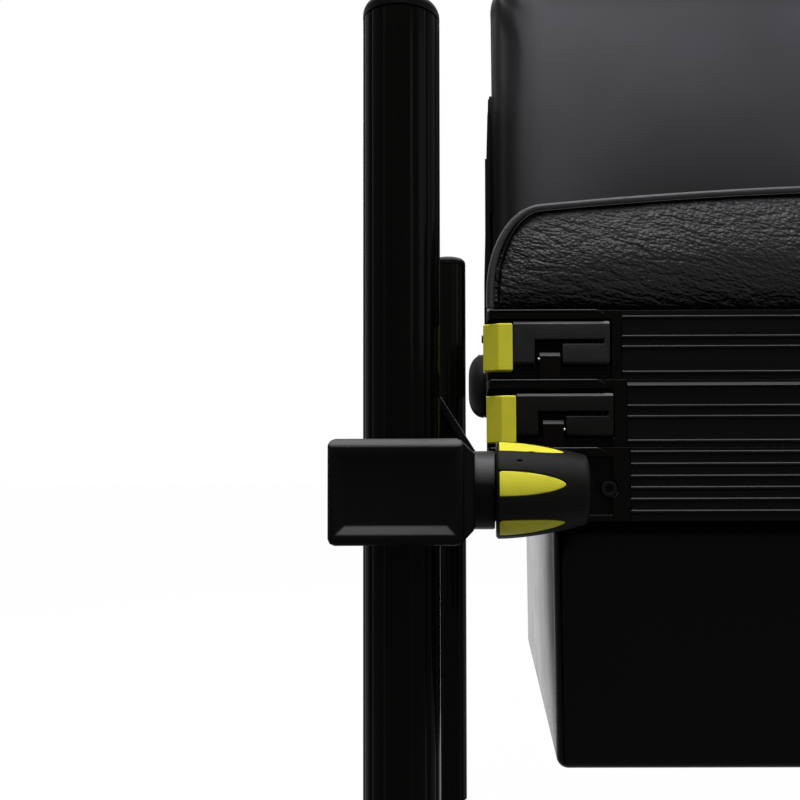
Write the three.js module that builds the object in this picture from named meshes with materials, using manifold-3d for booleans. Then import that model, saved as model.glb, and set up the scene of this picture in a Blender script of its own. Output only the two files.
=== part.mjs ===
// A fishing seat box: a cushioned seat and a tray stacked on a frame that carries four sliding legs,
// a storage tub below and a back pad that folds. Millimetres, +Z up, the front faces -Y, and the
// origin is on the floor under the middle of the box.
import * as THREE from "three";
import { mergeVertices } from "three/addons/utils/BufferGeometryUtils.js";
import Module from "manifold-3d";

const wasm = await Module();
wasm.setup();

// The box, and the gaps between its pieces
const boxWidth = 456;
const boxDepth = 417;
const seam = 0.3; // between pieces that touch
const swing = 0.8; // round pieces that swing
const overrun = 1; // how far a cutter passes the face that it opens

// The stack of modules, counted up from the floor
const frameBase = 340.6;
const frameHeight = 37.4;
const trayHeight = 34.3;
const seatHeight = 35.3;
const trayBase = frameBase + frameHeight + seam;
const seatBase = trayBase + trayHeight + seam;
const cushionBase = seatBase + seatHeight + seam;

// Ribbed rails
const railWall = 4;
const ridgeProud = 0.8;
const ridgeFlat = 1;
const ridgeSlope = 0.5;
const frameRidgeShares = [0.123, 0.286, 0.444, 0.6, 0.765, 0.93];
const trayRidgeShares = [0.08, 0.44, 0.6, 0.92];
const seatRidgeShares = [0.093, 0.46, 0.61, 0.895];

// Corner castings
const frameCornerReach = 73;
const trayCornerReach = 71.5;
const seatCornerReach = 69;
const castingFront = 12;
const castingSide = 6;
const castingRound = 4;
const castingSteps = 2;
const faceDepth = 2.5; // how far the front face lies behind its flange
const flangeHeight = 4.6;
const flangeProud = 2;
const flangeStart = 1.5;
const flangeEnd = 60;
const flangeSlope = 4;
const lugLength = 12; // the lug behind a rail's end
const lugThick = 3;
const lugMargin = 6;
const postReach = 26; // rear corner post of a one-piece shell
const webThick = 3; // floor flange of the frame
const screwInset = 62.2;
const screwHeight = 16.3;
const screwWell = 5;
const screwWellDepth = 5;
const screwHead = 4;
const screwHeadHeight = 3.6;
const screwSteps = 10;

// Latches: a lever on a vertical pin, its end tab, and the keeper on the module below
const leverStart = 13.6; // from the box's side to the lever's outer end
const leverEnd = 62.7;
const leverHeight = 22;
const leverThick = 9;
const leverProud = 2;
const leverBar = 9.2;
const leverFoot = 10.2; // height of the block beside the window
const leverSlit = 60; // how far the slit over that block runs
const windowStart = 24.5;
const windowEnd = 38.8;
const leverBevel = 1;
const seatLeverLift = 7.6;
const trayLeverLift = 5.4;
const trayLeverShift = 1.6; // the lower lever sits further in
const pinRadius = 1.5;
const pinClearance = 0.4;
const pinSteps = 8;
const bossSteps = 4;
const tabOut = 1.7; // how far the tab stands past the box's side
const tabHeight = 24.4;
const tabDrop = 3.5; // below the lever's lower edge
const tabProud = 2.5;
const tabBack = 9.5;
const tabRidge = 6;
const tabFacet = 4.5;
const tabBevel = 0.6;
const spigotReach = 8.5;
const spigotThick = 4;
const spigotHeight = 15;
const keeperStart = 27;
const keeperEnd = 37.6;
const keeperRise = 14;
const keeperRoot = 5.5;
const keeperFront = -1.7;
const keeperBack = 1.9;
const keeperSlope = 2;

// Legs, from the corner of the box to each leg's axis
const legOutset = 39.7;
const legForward = 36;
const legRadius = 18;
const legWall = 2.6;
const legTop = 586;
const legSteps = 16;
const fluteCount = 16;
const fluteDepth = 0.6;
const fluteWidth = 1.5;
const capHead = 8;
const capRound = 6;
const capPlug = 12;
const capSteps = 2;
const ballHeight = 16;
const ballRadius = 8;
const ballStud = 4;
const ballSteps = 4;
const plugSteps = 10;
const socketClearance = 0.6;
const socketMouth = 7;
const legFoot = 30; // underside of the tube
const legPlug = 9;
const footRadius = 42;
const footRim = 6;
const footShoulder = 9;
const footEdge = 2;
const footHub = 13;
const footHubTop = 23;
const footSteps = 16;

// Leg block
const blockRise = 16.8; // from the frame's underside to the block's middle
const blockWidth = 59.2;
const blockHeight = 46.6;
const blockDepth = 60;
const blockRound = 3;
const blockBevel = 1.6;
const legClearance = 0.4;
const panelSide = 3.4; // border round the framed front panel
const panelTop = 6.8;
const panelBottom = 4.7;
const panelSlope = 3.8;
const panelDepth = 3;
const taperEnd = -5.6;
const taperDrop = 4.6;
const neckRadius = 18.25;
const neckEnd = 3.7;
const neckSteps = 16;
const armDrop = 1.6; // below the frame's underside
const armHeight = 36;
const armFront = -18;
const armBack = 58;
const armThick = 8;
const armElbow = 18;
const armReach = 28;
const webFront = -15.5;
const webBack = -9.5;
const webFootOut = 6.3; // where the slanting web meets the arm
const webRise = 36.4; // from the frame's underside to the foot of the slope
const webHeight = 41; // from there to its top
const webShoulder = 32;
const webCrest = 47;
const webHeel = 60;
const webLip = 4;
const webLipProud = 2;

// Clamp knob
const knobStart = 4.2;
const knobEnd = 46.8;
const knobWide = 22.65;
const knobNarrow = 16.85;
const knobRound = 3.2;
const knobRim = 1.4;
const knobChamfer = 1;
const knobCurve = 1.7;
const knobSteps = 18;
const knobRings = 2;
const studRadius = 4;
const studSteps = 10;
const petalCount = 6;
const petalTurn = 9; // degrees that the first petal is turned up from the front
const petalEnd = 35.6;
const petalHalf = 6;
const petalRings = 3;
const petalLengthPower = 1.6;
const petalWidthPower = 0.6;
const sleeveInner = 9;
const sleeveOuter = 12;

// Storage tub
const tubDepth = 139; // below the frame's underside
const tubInset = 36.5; // from the box's side and front at the rim
const tubDraft = 1.6;
const tubWall = 2.6;
const tubRound = 12;
const tubEdge = 5.5;
const tubEdgeFlank = 1.6;
const tubRim = 8;
const tubRimThick = 2.6;
const tubClearance = 1;
const tubSteps = 3;

// Tray pan and seat board
const panWall = 2;
const panFloor = 2;
const panLift = 1;
const panDrop = 3; // from the rails' top down to the pan's rim
const ledgeReach = 16;
const ledgeThick = 3;
const boardThick = 8.6;
const boardClearance = 1;

// Rear hinges
const hingeOut = 6.5;
const hingeBarrel = 5.5;
const hingePin = 2.5;
const hingeBore = 2.9;
const hingeSpread = 95;
const knuckleLength = 18;
const knuckleGap = 0.5;
const leafLap = 2;
const hingeSteps = 8;

// Seat cushion
const cushionSide = 57.5; // height at the top of the rounded sides
const cushionUpright = 9.5; // straight part at the foot of the sides
const cushionShoulder = 30;
const cushionCrown = 11;
const cushionDome = 3;
const cushionWaist = 3; // how far the sides draw in between the corners
const cushionBack = 2.5;
const cushionFrontBulge = 3;
const cushionFrontRound = 6;
const pipingProud = 1.2;
const pipingWidth = 4;
const cushionArc = 7;
const cushionTop = 14;
const cushionRings = 7;

// Recliner and back pad
const reclineSetback = 38.5; // from the box's rear to the axis
const reclineRadius = 30;
const reclineOuter = 17;
const reclineCap = 8;
const reclineRound = 6;
const reclineHub = 12;
const reclineSteps = 20;
const armPlateRadius = 27;
const armPlateGap = 0.5;
const padGap = 37.5; // behind the box's rear
const padThick = 26;
const padInset = 4.2; // in from the box's side
const padLift = 35.8; // above the box's top
const padHeight = 421;
const padRound = 45;
const padLowRound = 18;
const padRoll = 12;
const padSteps = 6;
const padRings = 4;
const shellThick = 8;
const shellInset = 3;
const shellBevel = 2;
const uprightLead = 8; // in front of the pad
const uprightDepth = 30;
const uprightOut = 2.2; // past the box's side
const uprightDrop = 3.2; // below the box's top
const elbowHeight = 31;
const uprightBroad = 84; // from the elbow to where the taper starts
const uprightTaper = 192;
const uprightTip = 1.6;
const flangeReach = 40;
const flangeThick = 4;
const flangeRise = 34; // above the elbow
const flangeLength = 190;
const dotRise = 27.5; // above the elbow
const dotRadius = 4.2;
const dotProud = 3;

const leftX = -boxWidth / 2;
const frontY = -boxDepth / 2;
const boxTop = seatBase + seatHeight;
const tubCutX = tubInset - tubClearance;
const tubCutY = tubInset - tubClearance;
const tubBottom = frameBase - tubDepth;
const blockMid = frameBase + blockRise;
const armBottom = frameBase - armDrop;
const webFoot = frameBase + webRise;
const webPeak = webFoot + webHeight;
const reclineY = -frontY - reclineSetback;
const padFront = -frontY + padGap;
const padBack = padFront + padThick;
const padBottom = boxTop + padLift;
const padTop = padBottom + padHeight;
const padHalf = -leftX - padInset;
const uprightFront = padFront - uprightLead;
const uprightBack = uprightFront + uprightDepth;
const uprightLow = boxTop - uprightDrop;
const uprightElbow = uprightLow + elbowHeight;
const uprightBend = uprightElbow + uprightBroad;
const uprightTop = uprightBend + uprightTaper;
const flangeLow = uprightElbow + flangeRise;
const flangeHigh = flangeLow + flangeLength;

// Finishes
const finishes = {
  anodised: { color: 0x0b0b0c, roughness: 0.3, metalness: 0.6 },
  casting: { color: 0x161617, roughness: 0.55, metalness: 0 },
  rail: { color: 0x121213, roughness: 0.4, metalness: 0.6 },
  tub: { color: 0x0a0a0b, roughness: 0.35, metalness: 0 },
  softBlack: { color: 0x1b1b1d, roughness: 0.8, metalness: 0 },
  yellow: { color: 0xcfc73a, roughness: 0.45, metalness: 0 },
  leather: { color: 0x19191b, roughness: 0.5, metalness: 0 },
  backPad: { color: 0x2a2b2d, roughness: 0.55, metalness: 0 },
  steel: { color: 0x9a9b9d, roughness: 0.3, metalness: 1 },
  board: { color: 0x6d5a42, roughness: 0.7, metalness: 0 },
  rubber: { color: 0x101010, roughness: 0.85, metalness: 0 },
};

const box = new THREE.Group();

// The manifold solid of a closed geometry.
function solidOf(geometry) {
  geometry.deleteAttribute("normal");
  geometry.deleteAttribute("uv");
  const merged = mergeVertices(geometry);
  return new wasm.Manifold(
    new wasm.Mesh({
      numProp: 3,
      vertProperties: merged.attributes.position.array,
      triVerts: new Uint32Array(merged.index.array),
    }),
  );
}

// A named mesh of a solid.
function piece(name, solid, finish) {
  const { vertProperties, triVerts } = solid.getMesh();
  const geometry = new THREE.BufferGeometry();
  geometry.setAttribute("position", new THREE.BufferAttribute(vertProperties, 3));
  geometry.setIndex(new THREE.BufferAttribute(triVerts, 1));
  geometry.computeVertexNormals();
  const mesh = new THREE.Mesh(geometry, new THREE.MeshStandardMaterial(finishes[finish]));
  mesh.name = name;
  return mesh;
}

// A block between its low and high places along x, y and z.
function block([x0, x1], [y0, y1], [z0, z1]) {
  const geometry = new THREE.BoxGeometry(x1 - x0, y1 - y0, z1 - z0);
  return solidOf(geometry.translate((x0 + x1) / 2, (y0 + y1) / 2, (z0 + z1) / 2));
}

// An outline pushed out along its normal, with an optional bevel at both ends.
function pushed(points, length, bevel = 0) {
  const shape = new THREE.Shape(points.map(([u, v]) => new THREE.Vector2(u, v)));
  return new THREE.ExtrudeGeometry(shape, {
    depth: length - 2 * bevel,
    steps: 1,
    bevelEnabled: bevel > 0,
    bevelThickness: bevel,
    bevelSize: bevel,
    bevelOffset: -bevel,
    bevelSegments: 1,
  }).translate(0, 0, bevel);
}

// Prisms of an outline: (y, z) points along x, (x, z) points along y, (x, y) points along z.
function prismX(points, x0, x1, bevel) {
  const turn = new THREE.Matrix4().set(0, 0, 1, x0, 1, 0, 0, 0, 0, 1, 0, 0, 0, 0, 0, 1);
  return solidOf(pushed(points, x1 - x0, bevel).applyMatrix4(turn));
}

function prismY(points, y0, y1, bevel) {
  const turn = new THREE.Matrix4().set(1, 0, 0, 0, 0, 0, -1, y1, 0, 1, 0, 0, 0, 0, 0, 1);
  return solidOf(pushed(points, y1 - y0, bevel).applyMatrix4(turn));
}

function prismZ(points, z0, z1, bevel) {
  return solidOf(pushed(points, z1 - z0, bevel).translate(0, 0, z0));
}

// A solid of revolution about x, y or z through a place, from (radius, distance along) points.
function turned(profile, steps, axis, [x, y, z]) {
  const geometry = new THREE.LatheGeometry(
    profile.map(([r, along]) => new THREE.Vector2(r, along)),
    steps,
  );
  if (axis === "x") geometry.rotateZ(-Math.PI / 2);
  if (axis === "z") geometry.rotateX(Math.PI / 2);
  return solidOf(facingOut(geometry.translate(x, y, z)));
}

// A round bar along an axis.
function bar(radius, from, to, steps, axis, place) {
  return turned([[0, from], [radius, from], [radius, to], [0, to]], steps, axis, place);
}

// The geometry with its faces turned round if they point inwards.
function facingOut(geometry) {
  const whole = mergeable(geometry);
  const p = whole.attributes.position;
  const index = whole.index.array;
  const corner = [new THREE.Vector3(), new THREE.Vector3(), new THREE.Vector3()];
  let volume = 0;
  for (let i = 0; i < index.length; i += 3) {
    corner.forEach((v, k) => v.fromBufferAttribute(p, index[i + k]));
    volume += corner[0].dot(corner[1].clone().cross(corner[2]));
  }
  if (volume < 0) index.reverse();
  return whole;
}

// An indexed copy with shared points, without the faces that have shrunk to a line.
function mergeable(geometry) {
  geometry.deleteAttribute("normal");
  geometry.deleteAttribute("uv");
  const whole = mergeVertices(geometry);
  const kept = [];
  const index = whole.index.array;
  for (let i = 0; i < index.length; i += 3) {
    const [a, b, c] = index.slice(i, i + 3);
    if (a !== b && b !== c && c !== a) kept.push(a, b, c);
  }
  return whole.setIndex(kept);
}

// A closed skin over rings of the same number of points, with a flat fan at each end.
function loft(rings) {
  const count = rings[0].length;
  const middle = (ring) =>
    ring.reduce((sum, p) => sum.add(p), new THREE.Vector3()).divideScalar(count);
  const points = [...rings.flat(), middle(rings[0]), middle(rings[rings.length - 1])];
  const first = rings.length * count;
  const index = [];
  for (let k = 0; k < count; k += 1) {
    const next = (k + 1) % count;
    const last = first - count;
    index.push(first, next, k, first + 1, last + k, last + next);
    for (let r = 0; r < rings.length - 1; r += 1) {
      const low = r * count;
      const high = low + count;
      index.push(low + k, low + next, high + next, low + k, high + next, high + k);
    }
  }
  const geometry = new THREE.BufferGeometry().setFromPoints(points).setIndex(index);
  return solidOf(facingOut(geometry));
}

// The points of a rounded rectangle, centred on nothing, as [u, v] pairs.
function roundedRectangle(u0, u1, v0, v1, radius, steps) {
  const corners = [
    [u1 - radius, v1 - radius],
    [u0 + radius, v1 - radius],
    [u0 + radius, v0 + radius],
    [u1 - radius, v0 + radius],
  ];
  return corners.flatMap(([u, v], quarter) =>
    Array.from({ length: steps + 1 }, (_, k) => {
      const angle = ((quarter + k / steps) * Math.PI) / 2;
      return [u + radius * Math.cos(angle), v + radius * Math.sin(angle)];
    }),
  );
}

function circle(u, v, radius, steps) {
  return Array.from({ length: steps }, (_, k) => {
    const angle = (k / steps) * 2 * Math.PI;
    return [u + radius * Math.cos(angle), v + radius * Math.sin(angle)];
  });
}

function union(...solids) {
  return solids.reduce((whole, part) => whole.add(part));
}

// Puts a mesh that is modelled from the front left corner of the box at any corner.
function atCorner(mesh, side, end) {
  mesh.position.set(side * leftX, end * frontY, 0);
  mesh.scale.set(side, end, 1);
  box.add(mesh);
}

const corners = [
  { name: "front_left", side: 1, end: 1 },
  { name: "front_right", side: -1, end: 1 },
  { name: "rear_left", side: 1, end: -1 },
  { name: "rear_right", side: -1, end: -1 },
];
const sides = [
  { name: "left", side: 1 },
  { name: "right", side: -1 },
];

// The section of a rail as [distance in from the outer plane, height] points. Its inner outline
// follows, from the top down, in the points given.
function railSection(base, height, ridgeShares, inner) {
  const outer = ridgeShares.flatMap((share) => {
    const middle = base + height * share;
    const half = ridgeFlat / 2;
    return [
      [ridgeProud, middle - half - ridgeSlope],
      [0, middle - half],
      [0, middle + half],
      [ridgeProud, middle + half + ridgeSlope],
    ];
  });
  return [[ridgeProud, base], ...outer, [ridgeProud, base + height], ...inner];
}

function frameSection() {
  return railSection(frameBase, frameHeight, frameRidgeShares, [
    [railWall, frameBase + frameHeight],
    [railWall, frameBase + webThick],
    [tubCutY, frameBase + webThick],
    [tubCutY, frameBase],
  ]);
}

function traySection() {
  return railSection(trayBase, trayHeight, trayRidgeShares, [
    [railWall, trayBase + trayHeight],
    [railWall, trayBase],
  ]);
}

const ledgeTop = boxTop - boardThick - seam;

function seatSection() {
  return railSection(seatBase, seatHeight, seatRidgeShares, [
    [railWall, boxTop],
    [railWall, ledgeTop],
    [ledgeReach, ledgeTop],
    [ledgeReach, ledgeTop - ledgeThick],
    [railWall, ledgeTop - ledgeThick],
    [railWall, seatBase],
  ]);
}

// A rail across the front, or across the rear, between two corner reaches.
function crossRail(section, reach, end) {
  const points = section.map(([d, z]) => [end * (frontY + d), z]);
  return prismX(points, leftX + reach + seam, -leftX - reach - seam);
}

// A rail down a side, from one place along y to another.
function sideRail(section, side, y0, y1) {
  return prismY(section.map(([d, z]) => [side * (leftX + d), z]), y0, y1);
}

// The plan of a corner casting: an angle with a rounded outer edge, seen from the corner.
function anglePlan(reachX, reachY, front, flank, radius) {
  const arc = Array.from({ length: castingSteps + 1 }, (_, k) => {
    const angle = Math.PI + ((k / castingSteps) * Math.PI) / 2;
    return [radius + radius * Math.cos(angle), radius + radius * Math.sin(angle)];
  });
  return [...arc, [reachX, 0], [reachX, front], [flank, front], [flank, reachY], [0, reachY]];
}

// The flange along the top of a casting's front face, with a slope at its inner end.
function castingFlange(top) {
  const outline = [
    [flangeStart, top - flangeHeight],
    [flangeEnd, top - flangeHeight],
    [flangeEnd, top - flangeSlope / 2],
    [flangeEnd - flangeSlope, top],
    [flangeStart, top],
  ];
  return prismY(outline, -flangeProud, faceDepth + overrun);
}

// A lug that stands behind the end of the neighbouring rails.
function cornerLugs(reach, z) {
  const behind = [railWall + seam, railWall + seam + lugThick];
  const along = [reach - lugLength, reach + lugLength];
  return union(block(along, behind, z), block(behind, along, z));
}

// The keeper that stands up in the window of the lever above.
function keeper(top, shift) {
  const section = [
    [keeperFront, top - keeperRoot],
    [keeperFront, top + keeperRise - keeperSlope],
    [keeperFront + keeperSlope, top + keeperRise],
    [keeperBack, top + keeperRise],
    [keeperBack, top],
    [faceDepth + overrun, top - overrun],
    [faceDepth + overrun, top - keeperRoot],
  ];
  return prismX(section, keeperStart + shift, keeperEnd + shift);
}

// A casting: the plain angle, its recessed face, its flange and its lugs.
function castingBody(base, height, reach, lugTop) {
  const plan = anglePlan(reach, reach, castingFront, castingSide, castingRound);
  const face = block(
    [-overrun, flangeEnd + flangeSlope],
    [-overrun, faceDepth],
    [base - overrun, base + height - flangeHeight],
  );
  return union(
    prismZ(plan, base, base + height).subtract(face),
    castingFlange(base + height),
    cornerLugs(reach, [base + lugMargin, lugTop]),
  );
}

// The well behind a lever and its tab, and the pin that the lever turns on.
function leverWell(base, lift, shift) {
  const back = leverThick - leverProud + swing;
  const low = base + lift - swing;
  const high = base + lift + leverHeight + swing;
  const leverSpace = block([-overrun, leverEnd + shift + swing], [-overrun, back], [low, high]);
  const tabLow = base + lift - tabDrop - swing;
  const tabSpace = block(
    [-overrun, leverStart + shift + swing],
    [-overrun, tabBack + swing],
    [tabLow, high],
  );
  return leverSpace.add(tabSpace);
}

const pivotInset = leverEnd - leverThick / 2;
const pivotDepth = leverThick / 2 - leverProud;

function leverPin(base, lift, shift) {
  const from = base + lift - swing - overrun;
  const to = base + lift + leverHeight + swing + overrun;
  return bar(pinRadius, from, to, pinSteps, "z", [pivotInset + shift, pivotDepth, 0]);
}

function latchCasting(base, height, reach, lift, shift, lugTop) {
  return castingBody(base, height, reach, lugTop)
    .subtract(leverWell(base, lift, shift))
    .add(leverPin(base, lift, shift));
}

function frameCorner(front) {
  const plan = anglePlan(frameCornerReach, frameCornerReach, tubCutY, tubCutX, castingRound);
  const web = prismZ(plan, frameBase, frameBase + webThick);
  const lugTop = frameBase + frameHeight - lugMargin;
  const body = union(
    castingBody(frameBase, frameHeight, frameCornerReach, lugTop),
    web,
    bottomLip(),
  );
  if (!front) return body;
  const place = [screwInset, 0, frameBase + screwHeight];
  const well = bar(screwWell, -overrun, screwWellDepth, screwSteps, "y", place);
  const head = bar(
    screwHead,
    screwWellDepth - screwHeadHeight,
    screwWellDepth + overrun,
    screwSteps,
    "y",
    place,
  );
  return body.subtract(well).add(head).add(keeper(frameBase + frameHeight, trayLeverShift));
}

// The low border of the frame casting's front face.
function bottomLip() {
  return block([flangeStart, flangeEnd], [0, faceDepth + overrun], [frameBase, frameBase + webThick]);
}

function frameParts() {
  const section = frameSection();
  box.add(piece("frame_front_rail", crossRail(section, frameCornerReach, 1), "rail"));
  const rear = crossRail(section, frameCornerReach, -1).add(
    knuckles(frameBase + frameHeight + seam / 2, false),
  );
  box.add(piece("frame_rear_rail", bored(rear, trayBase - seam / 2), "rail"));
  const start = frontY + frameCornerReach + seam;
  for (const { name, side } of sides)
    box.add(piece(`frame_${name}_rail`, sideRail(section, side, start, -start), "rail"));
  for (const { name, side, end } of corners)
    atCorner(piece(`frame_corner_${name}`, frameCorner(end === 1), "casting"), side, end);
}

// Hinge knuckles behind the rear rail: one in the middle for the lid, two beside it for the base.
function knuckles(height, lid) {
  const y = -frontY + hingeOut;
  const pitch = knuckleLength + knuckleGap;
  const offsets = lid ? [0] : [-pitch, pitch];
  const reach = lid ? [seam, hingeBarrel] : [-hingeBarrel, -seam];
  const solids = [-hingeSpread, hingeSpread].flatMap((centre) =>
    offsets.map((offset) => {
      const x0 = centre + offset - knuckleLength / 2;
      const x1 = x0 + knuckleLength;
      const leaf = block([x0, x1], [-frontY - leafLap, y], [height + reach[0], height + reach[1]]);
      return bar(hingeBarrel, x0, x1, hingeSteps, "x", [0, y, height]).add(leaf);
    }),
  );
  return union(...solids);
}

// The solid with the hinge bore through its knuckles.
function bored(solid, height) {
  const y = -frontY + hingeOut;
  const reach = hingeSpread + 2 * knuckleLength;
  return solid.subtract(bar(hingeBore, -reach, reach, hingeSteps, "x", [0, y, height]));
}

function hingePinBar(height) {
  const reach = hingeSpread + knuckleLength + knuckleGap + knuckleLength / 2;
  return bar(hingePin, -reach, reach, hingeSteps, "x", [0, -frontY + hingeOut, height]);
}

// The side and rear walls of a module in one piece, with a post at each rear corner.
function moduleShell(section, base, height, reach) {
  const start = frontY + reach + seam;
  const stop = -frontY - postReach + overrun;
  const walls = sides.map(({ side }) => sideRail(section, side, start, stop));
  const rear = crossRail(section, postReach - overrun - seam, -1);
  const plan = anglePlan(postReach, postReach, castingSide, castingSide, castingRound);
  const posts = sides.map(({ side }) =>
    prismZ(plan.map(([x, y]) => [side * (leftX + x), -frontY - y]), base, base + height),
  );
  return union(...walls, rear, ...posts);
}

// The pan that the tray's walls carry.
function trayPan() {
  const outerX = -leftX - railWall - lugThick - 2 * seam;
  const outerFront = frontY + castingFront + seam;
  const outerRear = -frontY - castingSide - seam;
  const floor = trayBase + panLift;
  const top = trayBase + trayHeight - panDrop;
  const outside = block([-outerX, outerX], [outerFront, outerRear], [floor, top]);
  const inside = block(
    [-outerX + panWall, outerX - panWall],
    [outerFront + panWall, outerRear - panWall],
    [floor + panFloor, top + overrun],
  );
  const seatX = -leftX - railWall / 2;
  const tie = block(
    [-seatX, seatX],
    [frontY + trayCornerReach + lugLength + seam, -frontY - railWall / 2],
    [floor, floor + panFloor],
  );
  return union(outside, tie).subtract(inside);
}

function trayParts() {
  const section = traySection();
  box.add(piece("tray_front_rail", crossRail(section, trayCornerReach, 1), "rail"));
  const shell = moduleShell(section, trayBase, trayHeight, trayCornerReach);
  const body = union(
    shell,
    trayPan(),
    knuckles(trayBase - seam / 2, true),
    knuckles(seatBase - seam / 2, false),
  );
  const drilled = bored(bored(body, trayBase - seam / 2), seatBase - seam / 2);
  box.add(piece("tray_body", drilled, "rail"));
  for (const { name, side } of sides) {
    const solid = latchCasting(
      trayBase,
      trayHeight,
      trayCornerReach,
      trayLeverLift,
      trayLeverShift,
      trayBase + trayHeight - lugMargin,
    ).add(keeper(trayBase + trayHeight, 0));
    atCorner(piece(`tray_corner_${name}`, solid, "casting"), side, 1);
  }
}

function seatParts() {
  const section = seatSection();
  box.add(piece("seat_front_rail", crossRail(section, seatCornerReach, 1), "rail"));
  const shell = moduleShell(section, seatBase, seatHeight, seatCornerReach);
  const body = bored(shell.add(knuckles(seatBase - seam / 2, true)), seatBase - seam / 2);
  box.add(piece("seat_shell", body, "rail"));
  for (const { name, side } of sides) {
    const lugTop = ledgeTop - ledgeThick - seam;
    const solid = latchCasting(seatBase, seatHeight, seatCornerReach, seatLeverLift, 0, lugTop);
    atCorner(piece(`seat_corner_${name}`, solid, "casting"), side, 1);
  }
  box.add(piece("seat_board", seatBoard(), "board"));
}

function seatBoard() {
  const x = -leftX - castingSide - boardClearance;
  const front = frontY + castingFront + boardClearance;
  const rear = -frontY - castingSide - boardClearance;
  const outline = roundedRectangle(-x, x, front, rear, castingRound, castingSteps);
  return prismZ(outline, ledgeTop + seam, boxTop);
}

function hingePins() {
  box.add(piece("tray_hinge_pin", hingePinBar(trayBase - seam / 2), "steel"));
  box.add(piece("seat_hinge_pin", hingePinBar(seatBase - seam / 2), "steel"));
}

// A latch lever: a bar over a window that is open below, with a block beside it, on a round boss.
function latchLever(base, lift, shift) {
  const low = base + lift;
  const high = low + leverHeight;
  const barLow = high - leverBar;
  const outline = [
    [leverStart, low],
    [windowStart, low],
    [windowStart, barLow],
    [leverSlit, barLow],
    [leverSlit, low + leverFoot],
    [windowEnd, low + leverFoot],
    [windowEnd, low],
    [pivotInset, low],
    [leverEnd, low],
    [leverEnd, high],
    [leverStart, high],
  ].map(([x, z]) => [x + shift, z]);
  const front = -leverProud;
  const back = leverThick - leverProud;
  const plate = prismY(outline, front, back);
  const plan = [[leverStart - overrun, front], [leverStart - overrun, back]].concat(
    Array.from({ length: bossSteps + 1 }, (_, k) => {
      const angle = Math.PI / 2 - (k / bossSteps) * Math.PI;
      const half = leverThick / 2;
      return [pivotInset + half * Math.cos(angle), pivotDepth + half * Math.sin(angle)];
    }),
  );
  const envelope = prismZ(plan.map(([x, y]) => [x + shift, y]), low, high, leverBevel);
  const spigot = block(
    [leverStart + shift - spigotReach, leverStart + shift + overrun],
    [pivotDepth - spigotThick / 2, pivotDepth + spigotThick / 2],
    [tabMiddle(low) - spigotHeight / 2, tabMiddle(low) + spigotHeight / 2],
  );
  const bore = bar(
    pinRadius + pinClearance,
    low - overrun,
    high + overrun,
    pinSteps,
    "z",
    [pivotInset + shift, pivotDepth, 0],
  );
  return plate.intersect(envelope).add(spigot).subtract(bore);
}

function tabMiddle(low) {
  return low - tabDrop + tabHeight / 2;
}

// The yellow tab: a cap on the lever's end with a slanting outer facet.
function latchTab(base, lift, shift) {
  const low = base + lift;
  const plan = [
    [leverStart - seam, -tabProud],
    [tabRidge, -tabProud],
    [-tabOut, tabFacet - tabProud],
    [-tabOut, tabBack],
    [leverStart - seam, tabBack],
  ].map(([x, y]) => [x + shift, y]);
  const cap = prismZ(plan, low - tabDrop, low - tabDrop + tabHeight, tabBevel);
  const half = spigotHeight / 2 + seam;
  const socket = block(
    [leverStart + shift - spigotReach - seam, leverStart + shift + overrun],
    [pivotDepth - spigotThick / 2 - seam, pivotDepth + spigotThick / 2 + seam],
    [tabMiddle(low) - half, tabMiddle(low) + half],
  );
  return cap.subtract(socket);
}

function latches() {
  const modules = [
    { module: "seat", base: seatBase, lift: seatLeverLift, shift: 0 },
    { module: "tray", base: trayBase, lift: trayLeverLift, shift: trayLeverShift },
  ];
  for (const { module, base, lift, shift } of modules)
    for (const { name, side } of sides) {
      const lever = latchLever(base, lift, shift);
      atCorner(piece(`latch_lever_${module}_${name}`, lever, "softBlack"), side, 1);
      const tab = latchTab(base, lift, shift);
      atCorner(piece(`latch_tab_${module}_${name}`, tab, "yellow"), side, 1);
    }
}

// The outline of a leg: a circle with evenly spaced shallow flutes.
function legOutline() {
  const half = fluteWidth / 2 / legRadius;
  return Array.from({ length: fluteCount }, (_, k) => {
    const angle = (k / fluteCount) * 2 * Math.PI;
    return [
      [angle - half, legRadius],
      [angle, legRadius - fluteDepth],
      [angle + half, legRadius],
    ];
  })
    .flat()
    .map(([angle, r]) => [r * Math.cos(angle) - legOutset, r * Math.sin(angle) - legForward]);
}

const legPlace = [-legOutset, -legForward, 0];
const tubeTop = legTop - capHead - seam;

// A leg: the fluted tube with its lower plug, stud and ball.
function legTube() {
  const inner = circle(-legOutset, -legForward, legRadius - legWall, legSteps);
  const tube = prismZ(legOutline(), legFoot, tubeTop).subtract(
    prismZ(inner, legFoot - overrun, tubeTop + overrun),
  );
  const ball = Array.from({ length: ballSteps }, (_, k) => {
    const angle = ((k + 1) / (ballSteps + 1) - 1 / 2) * Math.PI;
    return [ballRadius * Math.cos(angle), ballHeight + ballRadius * Math.sin(angle)];
  }).filter(([r, z]) => r > ballStud || z < ballHeight);
  const plug = turned(
    [
      [0, ballHeight - ballRadius],
      ...ball,
      [ballStud, ballHeight + Math.sqrt(ballRadius ** 2 - ballStud ** 2)],
      [ballStud, legFoot],
      [legRadius - legWall / 2, legFoot],
      [legRadius - legWall / 2, legFoot + legPlug],
      [0, legFoot + legPlug],
    ],
    plugSteps,
    "z",
    legPlace,
  );
  return tube.add(plug);
}

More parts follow.
